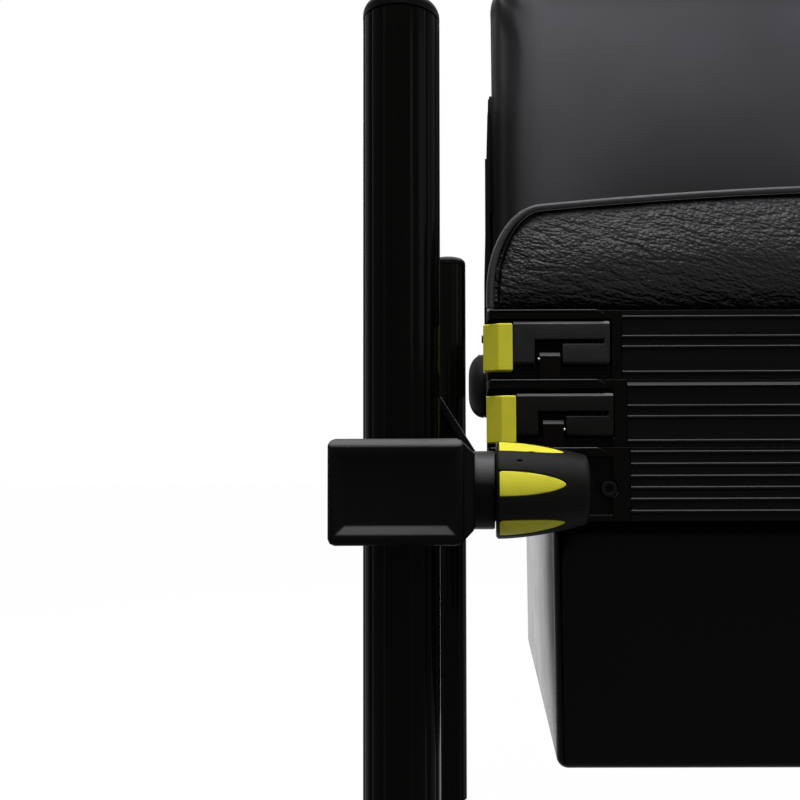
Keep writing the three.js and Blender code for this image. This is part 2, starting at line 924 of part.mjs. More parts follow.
function legCap() {
  const edge = Array.from({ length: capSteps + 1 }, (_, k) => {
    const angle = ((k / capSteps) * Math.PI) / 2;
    return [
      legRadius - capRound + capRound * Math.cos(angle),
      legTop - capRound + capRound * Math.sin(angle),
    ];
  });
  const plug = legRadius - legWall - seam;
  const profile = [
    [0, tubeTop - capPlug],
    [plug, tubeTop - capPlug],
    [plug, tubeTop + seam],
    [legRadius, tubeTop + seam],
    ...edge,
    [0, legTop],
  ];
  return turned(profile, legSteps, "z", legPlace);
}

// A foot: a broad disc with a socket for the ball.
function footDisc() {
  const socket = ballRadius + socketClearance;
  const mouth = Math.asin(socketMouth / socket);
  const cavity = Array.from({ length: ballSteps + 1 }, (_, k) => {
    const angle = mouth + (k / ballSteps) * (Math.PI - mouth);
    return [Math.max(0, socket * Math.sin(angle)), ballHeight + socket * Math.cos(angle)];
  });
  cavity[ballSteps][0] = 0;
  const profile = [
    [0, 0],
    [footRadius - footEdge, 0],
    [footRadius, footEdge],
    [footRadius, footRim],
    [footRadius - footEdge, footRim + footEdge],
    [footHub + footEdge, footShoulder],
    [footHub, footShoulder + footEdge],
    [footHub, footHubTop],
    [socketMouth, footHubTop],
    ...cavity,
  ];
  return turned(profile, footSteps, "z", legPlace);
}

// The framed well in a block's front face.
function blockPanel(left, right, low, high, front) {
  const ring = (inset, y) =>
    [
      [left + inset, low + inset],
      [right - inset, low + inset],
      [right - inset, high - inset],
      [left + inset, high - inset],
    ].map(([x, z]) => new THREE.Vector3(x, y, z));
  const spread = (panelSlope * overrun) / panelDepth;
  return loft([ring(-spread, front - overrun), ring(panelSlope, front + panelDepth)]);
}

// The block's inner side narrows towards its neck.
function blockTaper(left, right, half, low, high) {
  const ring = (x, inset) =>
    [
      [-half + inset, low + inset],
      [half - inset, low + inset],
      [half - inset, high - inset],
      [-half + inset, high - inset],
    ].map(([y, z]) => new THREE.Vector3(x, y - legForward, z));
  return loft([ring(left, 0), ring(right, taperDrop)]);
}

// The web that slants up behind the leg, with a lip along its sloping edge.
function blockWeb(top) {
  const outline = [
    [-webFootOut, webFoot],
    [-webShoulder, webPeak],
    [-webCrest, webPeak],
    [-webHeel, top - overrun],
    [-webFootOut - webLip, top - webLip],
  ];
  const web = prismY(outline, webFront, webBack);
  const rise = webPeak - webFoot;
  const run = webShoulder - webFootOut;
  const length = Math.hypot(rise, run);
  const shift = [(-webLip * rise) / length, (-webLip * run) / length];
  const lip = [
    [-webFootOut, webFoot],
    [-webShoulder, webPeak],
    [-webShoulder + shift[0], webPeak + shift[1]],
    [-webFootOut + shift[0], webFoot + shift[1]],
  ];
  return web.add(prismY(lip, webFront - webLipProud, webBack + webLipProud));
}

// The arm that carries the block on the side of the frame.
function blockArm() {
  const plan = [
    [-armReach, -legForward + blockDepth / 2 - armThick],
    [-seam, armFront],
    [-seam, armBack],
    [-armThick, armBack],
    [-armThick, armElbow],
    [-armReach, -legForward + blockDepth / 2 - overrun],
  ];
  return prismZ(plan, armBottom, armBottom + armHeight);
}

function legBlock() {
  const low = blockMid - blockHeight / 2;
  const high = blockMid + blockHeight / 2;
  const left = -legOutset - blockWidth / 2;
  const right = -legOutset + blockWidth / 2;
  const front = -legForward - blockDepth / 2;
  const outline = roundedRectangle(left, right, low, high, blockRound, castingSteps);
  const body = prismY(outline, front, front + blockDepth, blockBevel);
  const panel = blockPanel(
    left + panelSide,
    right - panelSide,
    low + panelBottom,
    high - panelTop,
    front,
  );
  const half = blockDepth / 2 - blockBevel;
  const taper = blockTaper(right - overrun, taperEnd, half, low + blockBevel, high - blockBevel);
  const middle = [0, -legForward, blockMid];
  const neck = bar(neckRadius, taperEnd - overrun, neckEnd, neckSteps, "x", middle);
  const legBore = bar(
    legRadius + legClearance,
    low - overrun,
    high + overrun,
    legSteps,
    "z",
    legPlace,
  );
  const studBore = bar(
    studRadius + legClearance,
    -legOutset,
    neckEnd + overrun,
    studSteps,
    "x",
    middle,
  );
  return union(body.subtract(panel), taper, neck, blockArm(), blockWeb(high))
    .subtract(legBore)
    .subtract(studBore);
}

// The radius of the knob's skin at a share of its length.
function knobRadius(share) {
  return knobWide - (knobWide - knobNarrow) * share ** knobCurve;
}

const knobPlace = [0, -legForward, blockMid];

// The knob's outline from its rim to its free end, as [radius, distance in from the box's side].
function knobSkin(grow) {
  const from = knobStart + knobChamfer;
  const to = knobEnd - knobRound;
  const flank = Array.from({ length: knobRings + 1 }, (_, k) => [
    knobRadius(k / knobRings) + grow,
    from + ((to - from) * k) / knobRings,
  ]);
  return [
    [knobWide - knobChamfer + grow, knobStart - grow],
    ...flank,
    [knobNarrow - knobRound / 2 + grow, knobEnd - knobRound / 4],
    [knobNarrow - knobRound, knobEnd + grow],
  ];
}

// One petal as a prism that points out from the knob's axis, before it is turned into place.
function petalPrism(grow) {
  const from = knobStart + knobRim - grow;
  const edge = Array.from({ length: petalRings + 1 }, (_, k) => {
    const share = k / petalRings;
    const along = from + (petalEnd + grow - from) * share;
    const half = (1 - share ** petalLengthPower) ** petalWidthPower;
    return [along, (petalHalf + grow) * half];
  });
  const outline = [...edge, ...edge.slice(0, petalRings).reverse().map(([a, w]) => [a, -w])];
  return pushed(outline, knobWide + overrun - sleeveInner).translate(0, 0, sleeveInner);
}

// The yellow insert: a sleeve with petals that come up to the knob's skin.
function insertSolid(grow) {
  const sleeve = turned(
    [
      [sleeveInner - grow, knobStart + knobRim - grow],
      [sleeveOuter + grow, knobStart + knobRim - grow],
      [sleeveOuter + grow, petalEnd + grow],
      [sleeveInner - grow, petalEnd + grow],
      [sleeveInner - grow, knobStart + knobRim - grow],
    ],
    petalCount,
    "x",
    [0, 0, 0],
  );
  const petals = Array.from({ length: petalCount }, (_, k) => {
    const turn = (k / petalCount) * 2 * Math.PI;
    return solidOf(petalPrism(grow).rotateX(turn));
  });
  return union(sleeve, ...petals).rotate([90 - petalTurn, 0, 0]).translate(knobPlace);
}

function knobBody() {
  const tip = -legOutset + legRadius + seam;
  const profile = [
    [0, tip],
    [studRadius, tip],
    [studRadius, knobStart],
    ...knobSkin(0),
    [0, knobEnd],
  ];
  return turned(profile, knobSteps, "x", knobPlace).subtract(insertSolid(seam));
}

function knobInsert() {
  const profile = [[0, knobStart], ...knobSkin(0), [0, knobEnd]];
  return insertSolid(0).intersect(turned(profile, knobSteps, "x", knobPlace));
}

function legs() {
  for (const { name, side, end } of corners) {
    atCorner(piece(`leg_block_${name}`, legBlock(), "casting"), side, end);
    atCorner(piece(`leg_tube_${name}`, legTube(), "anodised"), side, end);
    atCorner(piece(`leg_cap_${name}`, legCap(), "casting"), side, end);
    atCorner(piece(`leg_foot_${name}`, footDisc(), "rubber"), side, end);
    atCorner(piece(`leg_knob_${name}`, knobBody(), "softBlack"), side, end);
    atCorner(piece(`knob_insert_${name}`, knobInsert(), "yellow"), side, end);
  }
}

// A level ring of the tub at a height, inset from its rim.
function tubRing(inset, z, radius) {
  const x = -leftX - tubInset - inset;
  const y = -frontY - tubInset - inset;
  return roundedRectangle(-x, x, -y, y, radius, tubSteps).map(
    ([u, v]) => new THREE.Vector3(u, v, z),
  );
}

function storageTub() {
  const rimLow = frameBase + webThick + seam;
  const rimHigh = rimLow + tubRimThick;
  const body = loft([
    tubRing(tubDraft + tubEdge, tubBottom, tubRound - tubEdge),
    tubRing(tubDraft + tubEdgeFlank, tubBottom + tubEdgeFlank, tubRound - tubEdgeFlank),
    tubRing(tubDraft, tubBottom + tubEdge, tubRound),
    tubRing(0, rimLow + overrun, tubRound),
  ]);
  const rim = loft([
    tubRing(-tubRim - tubClearance, rimLow, tubRound + tubRim),
    tubRing(-tubRim - tubClearance, rimHigh, tubRound + tubRim),
  ]);
  const hollow = loft([
    tubRing(tubDraft + tubWall + tubEdge, tubBottom + tubWall, tubRound - tubEdge),
    tubRing(tubDraft + tubWall, tubBottom + tubWall + tubEdge, tubRound - tubWall),
    tubRing(tubWall, rimHigh + overrun, tubRound - tubWall),
  ]);
  box.add(piece("storage_tub", body.add(rim).subtract(hollow), "tub"));
}

// The outline of the cushion seen from the front: straight feet, round shoulders, a crowned top.
function cushionOutline(y, halfWidth, grow, dome) {
  const shoulderLow = cushionBase + cushionUpright;
  const shoulderHigh = cushionBase + cushionSide;
  const rise = shoulderHigh - shoulderLow;
  const half = Array.from({ length: cushionArc + 1 }, (_, k) => {
    const angle = ((k / cushionArc) * Math.PI) / 2;
    return [
      halfWidth - cushionShoulder + cushionShoulder * Math.cos(angle),
      shoulderLow + rise * Math.sin(angle),
    ];
  });
  const flat = halfWidth - cushionShoulder;
  const across = Array.from({ length: cushionTop - 1 }, (_, k) => {
    const share = 1 - (2 * (k + 1)) / cushionTop;
    return [flat * share, shoulderHigh + (cushionCrown + dome) * (1 - share ** 2)];
  });
  const mirrored = half.map(([x, z]) => [-x, z]).reverse();
  const points = [[halfWidth, cushionBase], ...half, ...across, ...mirrored, [-halfWidth, cushionBase]];
  const middle = cushionBase + cushionSide / 2;
  return points.map(([x, z]) => {
    const raised = z > cushionBase ? z + (grow * (z - middle)) / cushionSide : z;
    return new THREE.Vector3(x + Math.sign(x) * grow, y, raised);
  });
}

// The seat cushion: a loaf with a crowned top, sides drawn in, and a piped seam round its front.
function seatCushion() {
  const front = frontY - seam;
  const rear = -frontY - cushionBack;
  const seamY = front + cushionFrontRound;
  const half = -leftX - pipingProud;
  const rings = [
    cushionOutline(front, half - cushionShoulder, -cushionFrontRound, 0),
    cushionOutline(front + cushionFrontBulge / 2, half - cushionFrontRound, -cushionFrontBulge, 0),
    cushionOutline(seamY - pipingWidth / 2, half, -pipingProud, 0),
    cushionOutline(seamY, half, pipingProud, 0),
    cushionOutline(seamY + pipingWidth / 2, half, -pipingProud, 0),
  ];
  const first = seamY + pipingWidth;
  for (let k = 0; k <= cushionRings; k += 1) {
    const share = k / cushionRings;
    const belly = 4 * share * (1 - share);
    const waist = half - cushionWaist * belly;
    const y = first + (rear - cushionFrontRound - first) * share;
    rings.push(cushionOutline(y, waist, 0, cushionDome * belly));
  }
  rings.push(cushionOutline(rear, half - cushionFrontRound, -cushionFrontRound, 0));
  box.add(piece("cushion", loft(rings), "leather"));
}

const reclineZ = boxTop;

// The recliner housing: a rounded cap on a hub that passes through the arm.
function reclinerDisc() {
  const profile = [
    [0, -reclineOuter],
    [reclineRadius - 2 * reclineRound, -reclineOuter],
    [reclineRadius - reclineRound / 2, -reclineOuter + reclineRound / 2],
    [reclineRadius, -reclineOuter + reclineRound],
    [reclineRadius, -reclineOuter + reclineCap],
    [reclineHub, -reclineOuter + reclineCap],
    [reclineHub, -seam],
    [0, -seam],
  ];
  return turned(profile, reclineSteps, "x", [0, reclineY - frontY, reclineZ]);
}

// The upright of the back pad: a round root on the hub, an elbow behind the cushion, and a plate
// that thins towards its top beside the pad, with a flange behind the pad's shell.
function upright() {
  const y = (place) => place - frontY;
  const outer = -reclineOuter + reclineCap + armPlateGap;
  const inner = -2 * seam;
  const root = bar(armPlateRadius, outer, inner, reclineSteps, "x", [0, y(reclineY), reclineZ]);
  const limb = prismX(
    [
      [y(reclineY), uprightLow - reclineHub],
      [y(uprightBack), uprightLow],
      [y(uprightBack), uprightElbow],
      [y(reclineY), uprightElbow],
    ],
    outer,
    inner,
  );
  const padSide = -leftX - padHalf - seam;
  const elbow = block([outer, padSide], [y(uprightFront), y(uprightBack)], [uprightLow, uprightElbow]);
  const plate = prismY(
    [
      [padSide, uprightLow],
      [padSide, uprightTop],
      [padSide - uprightTip, uprightTop],
      [-uprightOut, uprightBend],
      [-uprightOut, uprightLow],
    ],
    y(uprightFront),
    y(uprightBack),
  );
  const shellBack = padBack + shellThick + 2 * seam;
  const flange = block(
    [-uprightOut / 2, padSide + flangeReach],
    [y(shellBack), y(shellBack) + flangeThick],
    [flangeLow, flangeHigh],
  );
  const tie = block(
    [-uprightOut / 2, padSide],
    [y(uprightBack) - overrun, y(shellBack) + flangeThick],
    [flangeLow, flangeHigh],
  );
  const dotPlace = [0, y((uprightFront + uprightBack) / 2), uprightElbow + dotRise];
  const dot = bar(dotRadius, -uprightOut - dotProud, 0, screwSteps, "x", dotPlace);
  const hubBore = bar(
    reclineHub + legClearance,
    outer - overrun,
    inner + overrun,
    reclineSteps,
    "x",
    [0, y(reclineY), reclineZ],
  );
  return union(root, limb, elbow, plate, flange, tie, dot).subtract(hubBore);
}

// The outline of the back pad at a place along y, inset from its edge.
function padRing(y, inset) {
  const left = -padHalf + inset;
  const right = padHalf - inset;
  const low = padBottom + inset;
  const high = padTop - inset;
  const corner = (x, z, radius, quarter) =>
    Array.from({ length: padSteps + 1 }, (_, k) => {
      const angle = ((quarter + k / padSteps) * Math.PI) / 2;
      return new THREE.Vector3(x + radius * Math.cos(angle), y, z + radius * Math.sin(angle));
    });
  const upper = padRound - inset / 2;
  const lower = padLowRound - inset / 2;
  return [
    ...corner(right - upper, high - upper, upper, 0),
    ...corner(left + upper, high - upper, upper, 1),
    ...corner(left + lower, low + lower, lower, 2),
    ...corner(right - lower, low + lower, lower, 3),
  ];
}

function backPad() {
  const rings = [padRing(padBack, 0)];
  for (let k = 0; k <= padRings; k += 1) {
    const angle = ((k / padRings) * Math.PI) / 2;
    const y = padFront + padRoll - padRoll * Math.sin(angle);
    rings.push(padRing(y, padRoll * (1 - Math.cos(angle))));
  }
  return loft(rings);
}

function backShell() {
  const outline = padRing(0, shellInset).map(({ x, z }) => [x, z]);
  const from = padBack + seam;
  return prismY(outline, from, from + shellThick, shellBevel);
}

function backRest() {
  for (const { name, side } of sides) {
    atCorner(piece(`recliner_disc_${name}`, reclinerDisc(), "casting"), side, 1);
    atCorner(piece(`backrest_upright_${name}`, upright(), "casting"), side, 1);
  }
  box.add(piece("backrest_shell", backShell(), "casting"));
  box.add(piece("backrest_pad", backPad(), "backPad"));
}

frameParts();
trayParts();
seatParts();
hingePins();
latches();
legs();
storageTub();
seatCushion();
backRest();

export default box;
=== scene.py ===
"""The looks of a fishing seat box on four legs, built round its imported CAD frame."""

import math
from contextlib import contextmanager

import bmesh
import bpy
from bpy.props import FloatProperty, FloatVectorProperty, IntProperty, PointerProperty
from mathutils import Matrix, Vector


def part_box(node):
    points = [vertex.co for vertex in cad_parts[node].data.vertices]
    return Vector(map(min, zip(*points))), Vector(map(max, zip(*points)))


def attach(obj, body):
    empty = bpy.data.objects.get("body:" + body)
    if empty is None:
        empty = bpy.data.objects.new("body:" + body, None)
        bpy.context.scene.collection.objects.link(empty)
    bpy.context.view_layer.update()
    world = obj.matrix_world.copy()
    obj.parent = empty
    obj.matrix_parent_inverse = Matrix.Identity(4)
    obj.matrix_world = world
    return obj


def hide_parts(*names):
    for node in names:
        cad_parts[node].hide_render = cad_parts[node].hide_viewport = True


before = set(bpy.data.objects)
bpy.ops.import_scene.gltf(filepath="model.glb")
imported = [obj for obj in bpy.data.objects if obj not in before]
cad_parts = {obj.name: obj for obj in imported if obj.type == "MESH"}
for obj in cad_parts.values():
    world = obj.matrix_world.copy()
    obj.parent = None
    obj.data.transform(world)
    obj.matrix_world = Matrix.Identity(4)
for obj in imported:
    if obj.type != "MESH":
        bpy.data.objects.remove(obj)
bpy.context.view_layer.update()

bl_info = {
    "name": "Fishing Seat Box",
    "version": (1, 0, 0),
    "blender": (4, 5, 0),
    "location": "View3D > Sidebar > Seat Box",
    "description": "Dresses a fishing seat box with knobs, legs, latches, rails and upholstery",
    "category": "Object",
}

MM = 0.001
FULL_TURN = 2 * math.pi
# places of like pieces, and the scale that mirrors the first one into each
SIDES = {"left": (1, 1, 1), "right": (-1, 1, 1)}
CORNERS = {
    "front_left": (1, 1, 1), "front_right": (-1, 1, 1), "rear_left": (1, -1, 1), "rear_right": (-1, -1, 1),
}
DOUBLES = 1e-5  # metres within which points are one
FLAT = math.radians(0.5)  # faces that meet at less than this are one
PUFF_FRAMES = 20


def millimetres(*values):
    """Metres from a list of millimetres."""
    return tuple(value * MM for value in values)


def srgb(red, green, blue):
    """The linear colour of three screen values from 0 to 255."""
    return tuple(
        value / 255 / 12.92 if value < 10.3 else ((value / 255 + 0.055) / 1.055) ** 2.4
        for value in (red, green, blue)
    )


# ---------------------------------------------------------------- user settings


class SeatBoxColours(bpy.types.PropertyGroup):
    """Colours of the box's finishes"""

    def colour(name, description, default):
        return FloatVectorProperty(
            name=name, description=description, subtype="COLOR", size=3, min=0, max=1, default=default
        )

    plastic: colour("Moulded plastic", "Corner castings, leg caps and uprights", srgb(7, 6, 5))
    block: colour("Leg blocks", "Blocks that clamp the legs", srgb(13, 12, 12))
    rail: colour("Rails", "Anodised rails of the frame, tray and seat", srgb(13, 12, 12))
    anodised: colour("Leg tubes", "Gloss anodised leg tubes", srgb(5, 5, 4))
    soft: colour("Soft plastic", "Knobs and latch levers", srgb(12, 11, 10))
    lever: colour("Levers", "Latch levers", srgb(34, 34, 34))
    bright: colour("Bright plastic", "Knob petals and latch tabs", srgb(223, 217, 61))
    tub: colour("Tub", "Storage tub", srgb(6, 5, 4))
    cushion: colour("Cushion", "Leather of the cushion", srgb(27, 27, 29))
    back: colour("Backrest", "Leather of the back pad", srgb(55, 55, 59))
    rubber: colour("Foot rubber", "Feet", srgb(30, 30, 30))
    wood: colour("Board", "Plywood under the cushion", srgb(190, 150, 105))
    steel: colour("Steel", "Pins and screws", srgb(170, 170, 170))


class SeatBoxSizes(bpy.types.PropertyGroup):
    """Sizes of the pieces that are made in Blender"""

    def length(name, description, millimetres):
        return FloatProperty(
            name=name, description=description, subtype="DISTANCE", unit="LENGTH", min=0, precision=4,
            default=millimetres * MM,
        )

    def count(name, description, default):
        return IntProperty(name=name, description=description, min=3, default=default)

    petals: count("Petals", "Bright petals round a clamp knob", 6)
    petal_half: length("Petal half width", "Half the width of a petal at its root", 5.7)
    knob_rim: length("Knob rim radius", "Radius of a clamp knob at its rim", 22.65)
    knob_nose: length("Knob end radius", "Radius of a clamp knob at its free end", 16.85)
    lever_top: length("Lever top chamfer", "Chamfer along the top of a latch lever", 1.5)
    lever_low: length("Lever bottom chamfer", "Chamfer along the bottom of a latch lever", 1.1)
    flutes: count("Flutes", "Flutes round a leg tube", 16)
    flute_depth: length("Flute depth", "Depth of a leg tube's flutes", 0.55)
    block_chamfer: length("Block chamfer", "Chamfer along the top of a leg block's front", 3.4)
    screw_head: length("Screw head radius", "Radius of the corner screws' heads", 4.15)
    tub_corner: length("Tub corner radius", "Radius of the tub's upright corners", 6.5)
    tub_wall: length("Tub wall", "Thickness of the tub's wall", 2.6)
    cushion_crown: length("Cushion crown height", "Height of the cushion's crown above the floor", 514.6)
    cushion_bulge: length("Cushion bulge", "How far the cushion's panels stand out", 5)
    welt: length("Welt radius", "Radius of the welts round the cushion's panels", 2)
    seam: length("Seam radius", "Radius of the thread beside the welts", 0.62)
    creases: length("Crease depth", "Depth of the creases in the cushion's leather", 1.5)
    pad_groove: length("Back pad seam depth", "How deep the back pad's seam is drawn in", 3.6)
    pad_roll: length("Back pad roll", "Radius of the back pad's rolled edge", 11)


def settings():
    """The colours that the user has set."""
    return bpy.context.scene.seat_box_colours


def size(name):
    """A length that the user has set, in millimetres."""
    return getattr(bpy.context.scene.seat_box_sizes, name) / MM


def number(name):
    """A count that the user has set."""
    return getattr(bpy.context.scene.seat_box_sizes, name)


# ---------------------------------------------------------------- shader maths


class Value:
    """A number that varies over a surface: sums and products of it add their Math nodes."""

    def __init__(self, nodes, socket):
        self.nodes, self.socket = nodes, socket

    def maths(self, operation, first, second=0.0):
        return self.nodes.node("ShaderNodeMath", {"operation": operation}, {0: first, 1: second})

    def __add__(self, other):
        return self.maths("ADD", self, other)

    def __sub__(self, other):
        return self.maths("SUBTRACT", self, other)

    def __rsub__(self, other):
        return self.maths("SUBTRACT", other, self)

    def __mul__(self, other):
        return self.maths("MULTIPLY", self, other)

    __radd__ = __add__
    __rmul__ = __mul__

    def magnitude(self):
        return self.maths("ABSOLUTE", self)

    def over(self, low, high, start=0.0, end=1.0):
        """The value taken from one range to another, and held at its ends."""
        return self.nodes.node(
            "ShaderNodeMapRange",
            {"clamp": True},
            {"Value": self, "From Min": low, "From Max": high, "To Min": start, "To Max": end},
        )


class Nodes:
    """The node tree of a material or a world, with one method that adds any node."""

    def __init__(self, owner):
        owner.use_nodes = True
        self.tree = owner.node_tree

    def feed(self, socket, value):
        if isinstance(value, Value):
            self.tree.links.new(value.socket, socket)
        else:
            socket.default_value = value

    def node(self, kind, options=None, inputs=None, output=0):
        """Adds a node of a type: its settings go first, then the values or links of its sockets."""
        node = self.tree.nodes.new(kind)
        for name, value in (options or {}).items():
            setattr(node, name, value)
        for socket, value in (inputs or {}).items():
            self.feed(node.inputs[socket], value)
        return Value(self, node.outputs[output])

    def backdrop(self, output, lit, shown, share):
        """Ends the tree in a lit surface, over which camera, mirror and glass rays see a share of another."""
        camera, glossy, glass = (
            self.node("ShaderNodeLightPath", output=name)
            for name in ("Is Camera Ray", "Is Glossy Ray", "Is Transmission Ray")
        )
        seen = (camera + glossy + glass).over(0, 1) * share
        mixed = self.node("ShaderNodeMixShader", {}, {0: seen, 1: lit, 2: shown})
        self.feed(self.tree.nodes[output].inputs["Surface"], mixed)


class Shader(Nodes):
    """A finish: its material and its surface shader."""

    def __init__(self, name, colour, roughness, **constants):
        self.material = bpy.data.materials.new(name)
        super().__init__(self.material)
        self.surface = self.tree.nodes["Principled BSDF"]
        self.material.diffuse_color = (*colour, 1)
        self.set("Base Color", (*colour, 1))
        self.set("Roughness", roughness)
        for socket, value in constants.items():
            self.set(socket.replace("_", " "), value)
        self.place = self.node("ShaderNodeTexCoord", output="Object")

    def set(self, socket, value):
        self.feed(self.surface.inputs[socket], value)

    def stretched(self, scale, turn=0.0, place=None):
        """Places scaled along each axis, so that a pattern stretches; the axes may turn about Y."""
        size = tuple(1 / share for share in scale)
        inputs = {"Vector": place or self.place, "Rotation": (0, turn, 0), "Scale": size}
        return self.node("ShaderNodeMapping", {"vector_type": "TEXTURE"}, inputs)

    def warped(self, scale, reach):
        """Object coordinates pushed about by broad noise, by up to half a reach in metres."""
        def vectors(operation, inputs):
            return self.node("ShaderNodeVectorMath", {"operation": operation}, inputs)

        push = self.node("ShaderNodeTexNoise", {}, {"Vector": self.place, "Scale": scale}, output="Color")
        centred = vectors("SUBTRACT", {0: push, 1: (0.5, 0.5, 0.5)})
        return vectors("ADD", {0: vectors("SCALE", {0: centred, "Scale": reach}), 1: self.place})

    def noise(self, scale, detail=2.0, roughness=0.5, place=None, distortion=0.0):
        """Cloudy noise whose lumps are about 1 / scale metres across."""
        inputs = {"Vector": place or self.place, "Scale": scale, "Detail": detail}
        inputs |= {"Roughness": roughness, "Distortion": distortion}
        return self.node("ShaderNodeTexNoise", {}, inputs)

    def cells(self, place):
        """Distance to the middles of packed cells, one to each unit of the places given."""
        return self.node("ShaderNodeTexVoronoi", {}, {"Vector": place, "Scale": 1.0}, output="Distance")

    def tint(self, factor, first, second):
        """A colour between two colours, either of which may vary."""
        ends = [end if isinstance(end, Value) else (*end, 1) for end in (first, second)]
        inputs = {0: factor, 6: ends[0], 7: ends[1]}
        return self.node("ShaderNodeMix", {"data_type": "RGBA"}, inputs, output=2)

    def upward(self):
        """How far the surface faces up, from -1 to 1, as the piece stands at rest."""
        normal = self.node("ShaderNodeTexCoord", output="Normal")
        return self.node("ShaderNodeSeparateXYZ", {}, {0: normal}, output="Z")

    def emboss(self, height, distance, strength=1.0):
        """Gives the surface relief from a height, whose full range stands for a distance in metres."""
        inputs = {"Height": height, "Distance": distance, "Strength": strength}
        self.set("Normal", self.node("ShaderNodeBump", {}, inputs))


def shaded(colour, share):
    """A colour made lighter or darker by a share."""
    return tuple(min(1.0, channel * share) for channel in colour)


# ---------------------------------------------------------------- finishes


# the last setting is the pale grey of a painted highlight on what slants up
def moulded(name, colour, roughness=0.4, specular=0.02, grain=1500.0, depth=0.03 * MM, dust_and_highlight=0.12):
    """Injection-moulded plastic: fine spark grain, uneven gloss, and a painted highlight on what slants up.
    """
    shader = Shader(name, colour, roughness, Specular_IOR_Level=specular)
    fine = shader.noise(grain, 2.0, 0.6)
    cloud = shader.noise(28.0, 3.0, 0.6)
    patches = shader.tint(cloud.over(0.35, 0.7), colour, shaded(colour, 1.25))
    up = shader.upward()
    # painted highlight: faces that slant up, less so flat tops, turn patchily pale as if lit from above
    painted_highlight_mask = up.over(0.15, 0.9) * up.over(0.74, 0.92, 1.0, 0.2) * cloud.over(0.2, 0.6, 0.75, 1.0)
    shader.set("Base Color", shader.tint(painted_highlight_mask, patches, (dust_and_highlight, dust_and_highlight, dust_and_highlight)))
    shader.set("Roughness", cloud.over(0.3, 0.7, roughness * 0.88, roughness * 1.17))
    shader.emboss(fine, depth, 0.7)
    return shader.material


def anodised(name, colour):
    """Black anodised metal drawn along Z: faint lengthwise die lines in its gloss."""
    shader = Shader(name, colour, 0.14, Specular_IOR_Level=0.02)
    lines = shader.noise(1.0, 3.0, 0.6, shader.stretched((900, 900, 6)))
    cloud = shader.noise(22.0, 2.0, 0.5)
    shader.set("Base Color", shader.tint(lines.over(0.4, 0.7), colour, shaded(colour, 1.3)))
    shader.set("Roughness", (lines * 0.12 + cloud * 0.06) + 0.05)
    shader.emboss(lines, 0.008 * MM, 0.5)
    return shader.material


def extruded(name, colour):
    """Satin anodised rail: long die lines, and a painted highlight on the ridges where they slant up."""
    shader = Shader(name, colour, 0.3, Specular_IOR_Level=0.02)
    lines = shader.noise(1.0, 2.0, 0.6, shader.stretched((5, 5, 1600)))
    cloud = shader.noise(16.0, 3.0, 0.55)
    drawn = shader.tint(lines.over(0.35, 0.7), colour, shaded(colour, 1.35))
    up = shader.upward()
    # painted highlight: ridge slopes that face up turn patchily pale grey, in place of the top lamp's light
    painted_ridge_highlight = up.over(0.3, 0.75) * up.over(0.93, 0.99, 1.0, 0.3) * cloud.over(0.3, 0.6, 0.8, 1.0)
    shader.set("Base Color", shader.tint(painted_ridge_highlight, drawn, (0.075, 0.075, 0.074)))
    shader.set("Roughness", (lines * 0.1 + cloud * 0.08) + 0.21)
    shader.emboss(lines, 0.01 * MM, 0.5)
    return shader.material


def bright_plastic(name, colour):
    """Bright satin plastic: a fine grain and a slightly uneven colour."""
    shader = Shader(name, colour, 0.4, Specular_IOR_Level=0.15)
    fine = shader.noise(1800.0, 2.0, 0.6)
    cloud = shader.noise(60.0, 3.0, 0.6)
    shader.set("Base Color", shader.tint(cloud.over(0.35, 0.75), colour, shaded(colour, 0.88)))
    shader.set("Roughness", cloud.over(0.3, 0.7, 0.36, 0.46))
    shader.emboss(fine, 0.025 * MM, 0.6)
    return shader.material


def rubber(name, colour):
    """Matt rubber with a dusty bloom and a coarse grain."""
    shader = Shader(name, colour, 0.75, Specular_IOR_Level=0.25)
    fine = shader.noise(700.0, 3.0, 0.6)
    dust_and_highlight = shader.noise(35.0, 4.0, 0.6)
    shader.set("Base Color", shader.tint(dust_and_highlight.over(0.4, 0.75), colour, shaded(colour, 1.7)))
    shader.set("Roughness", dust_and_highlight.over(0.3, 0.7, 0.68, 0.84))
    shader.emboss(fine, 0.08 * MM, 0.7)
    return shader.material


def leather(name, colour, wrinkles, roughness=0.42, specular=0.15):
    """Leather-grained covering, painted paler where it faces up: pebbles, crinkles and slanting creases."""
    shader = Shader(name, colour, roughness, Specular_IOR_Level=specular)
    sway = shader.noise(14.0, 2.0, 0.5)
    flow = shader.warped(9.0, 0.02)
    pebbles = shader.cells(shader.stretched((420, 420, 680), 0.25, flow))
    ripples = shader.noise(1.0, 3.0, 0.6, shader.stretched((340, 340, 620), 0.25, flow))
    creases = shader.noise(1.0, 2.0, 0.5, shader.stretched((36, 36, 170), 0.2, flow))
    valley = (creases - 0.5).magnitude().over(0.0, 0.09)
    height = valley * 0.42 + ripples * 0.45 + (1 - pebbles) * 0.5
    # the drawn attribute holds painted shade, which takes the leather nearly to black
    drawn = shader.node("ShaderNodeAttribute", {"attribute_name": "drawn"}, output="Fac")
    even = shader.tint(sway.over(0.35, 0.7), shaded(colour, 0.9), shaded(colour, 1.1))
    # painted light: the leather turns paler where it faces up, as if lit from above
    painted_top_light = shader.tint(shader.upward().over(0.1, 0.4), even, shaded(colour, 1.7))
    shader.set("Base Color", shader.tint(drawn, painted_top_light, shaded(colour, 0.06)))
    shader.set("Roughness", sway.over(0.3, 0.7, roughness - 0.03, roughness + 0.04))
    shader.emboss(height, wrinkles, 1.0)
    return shader.material


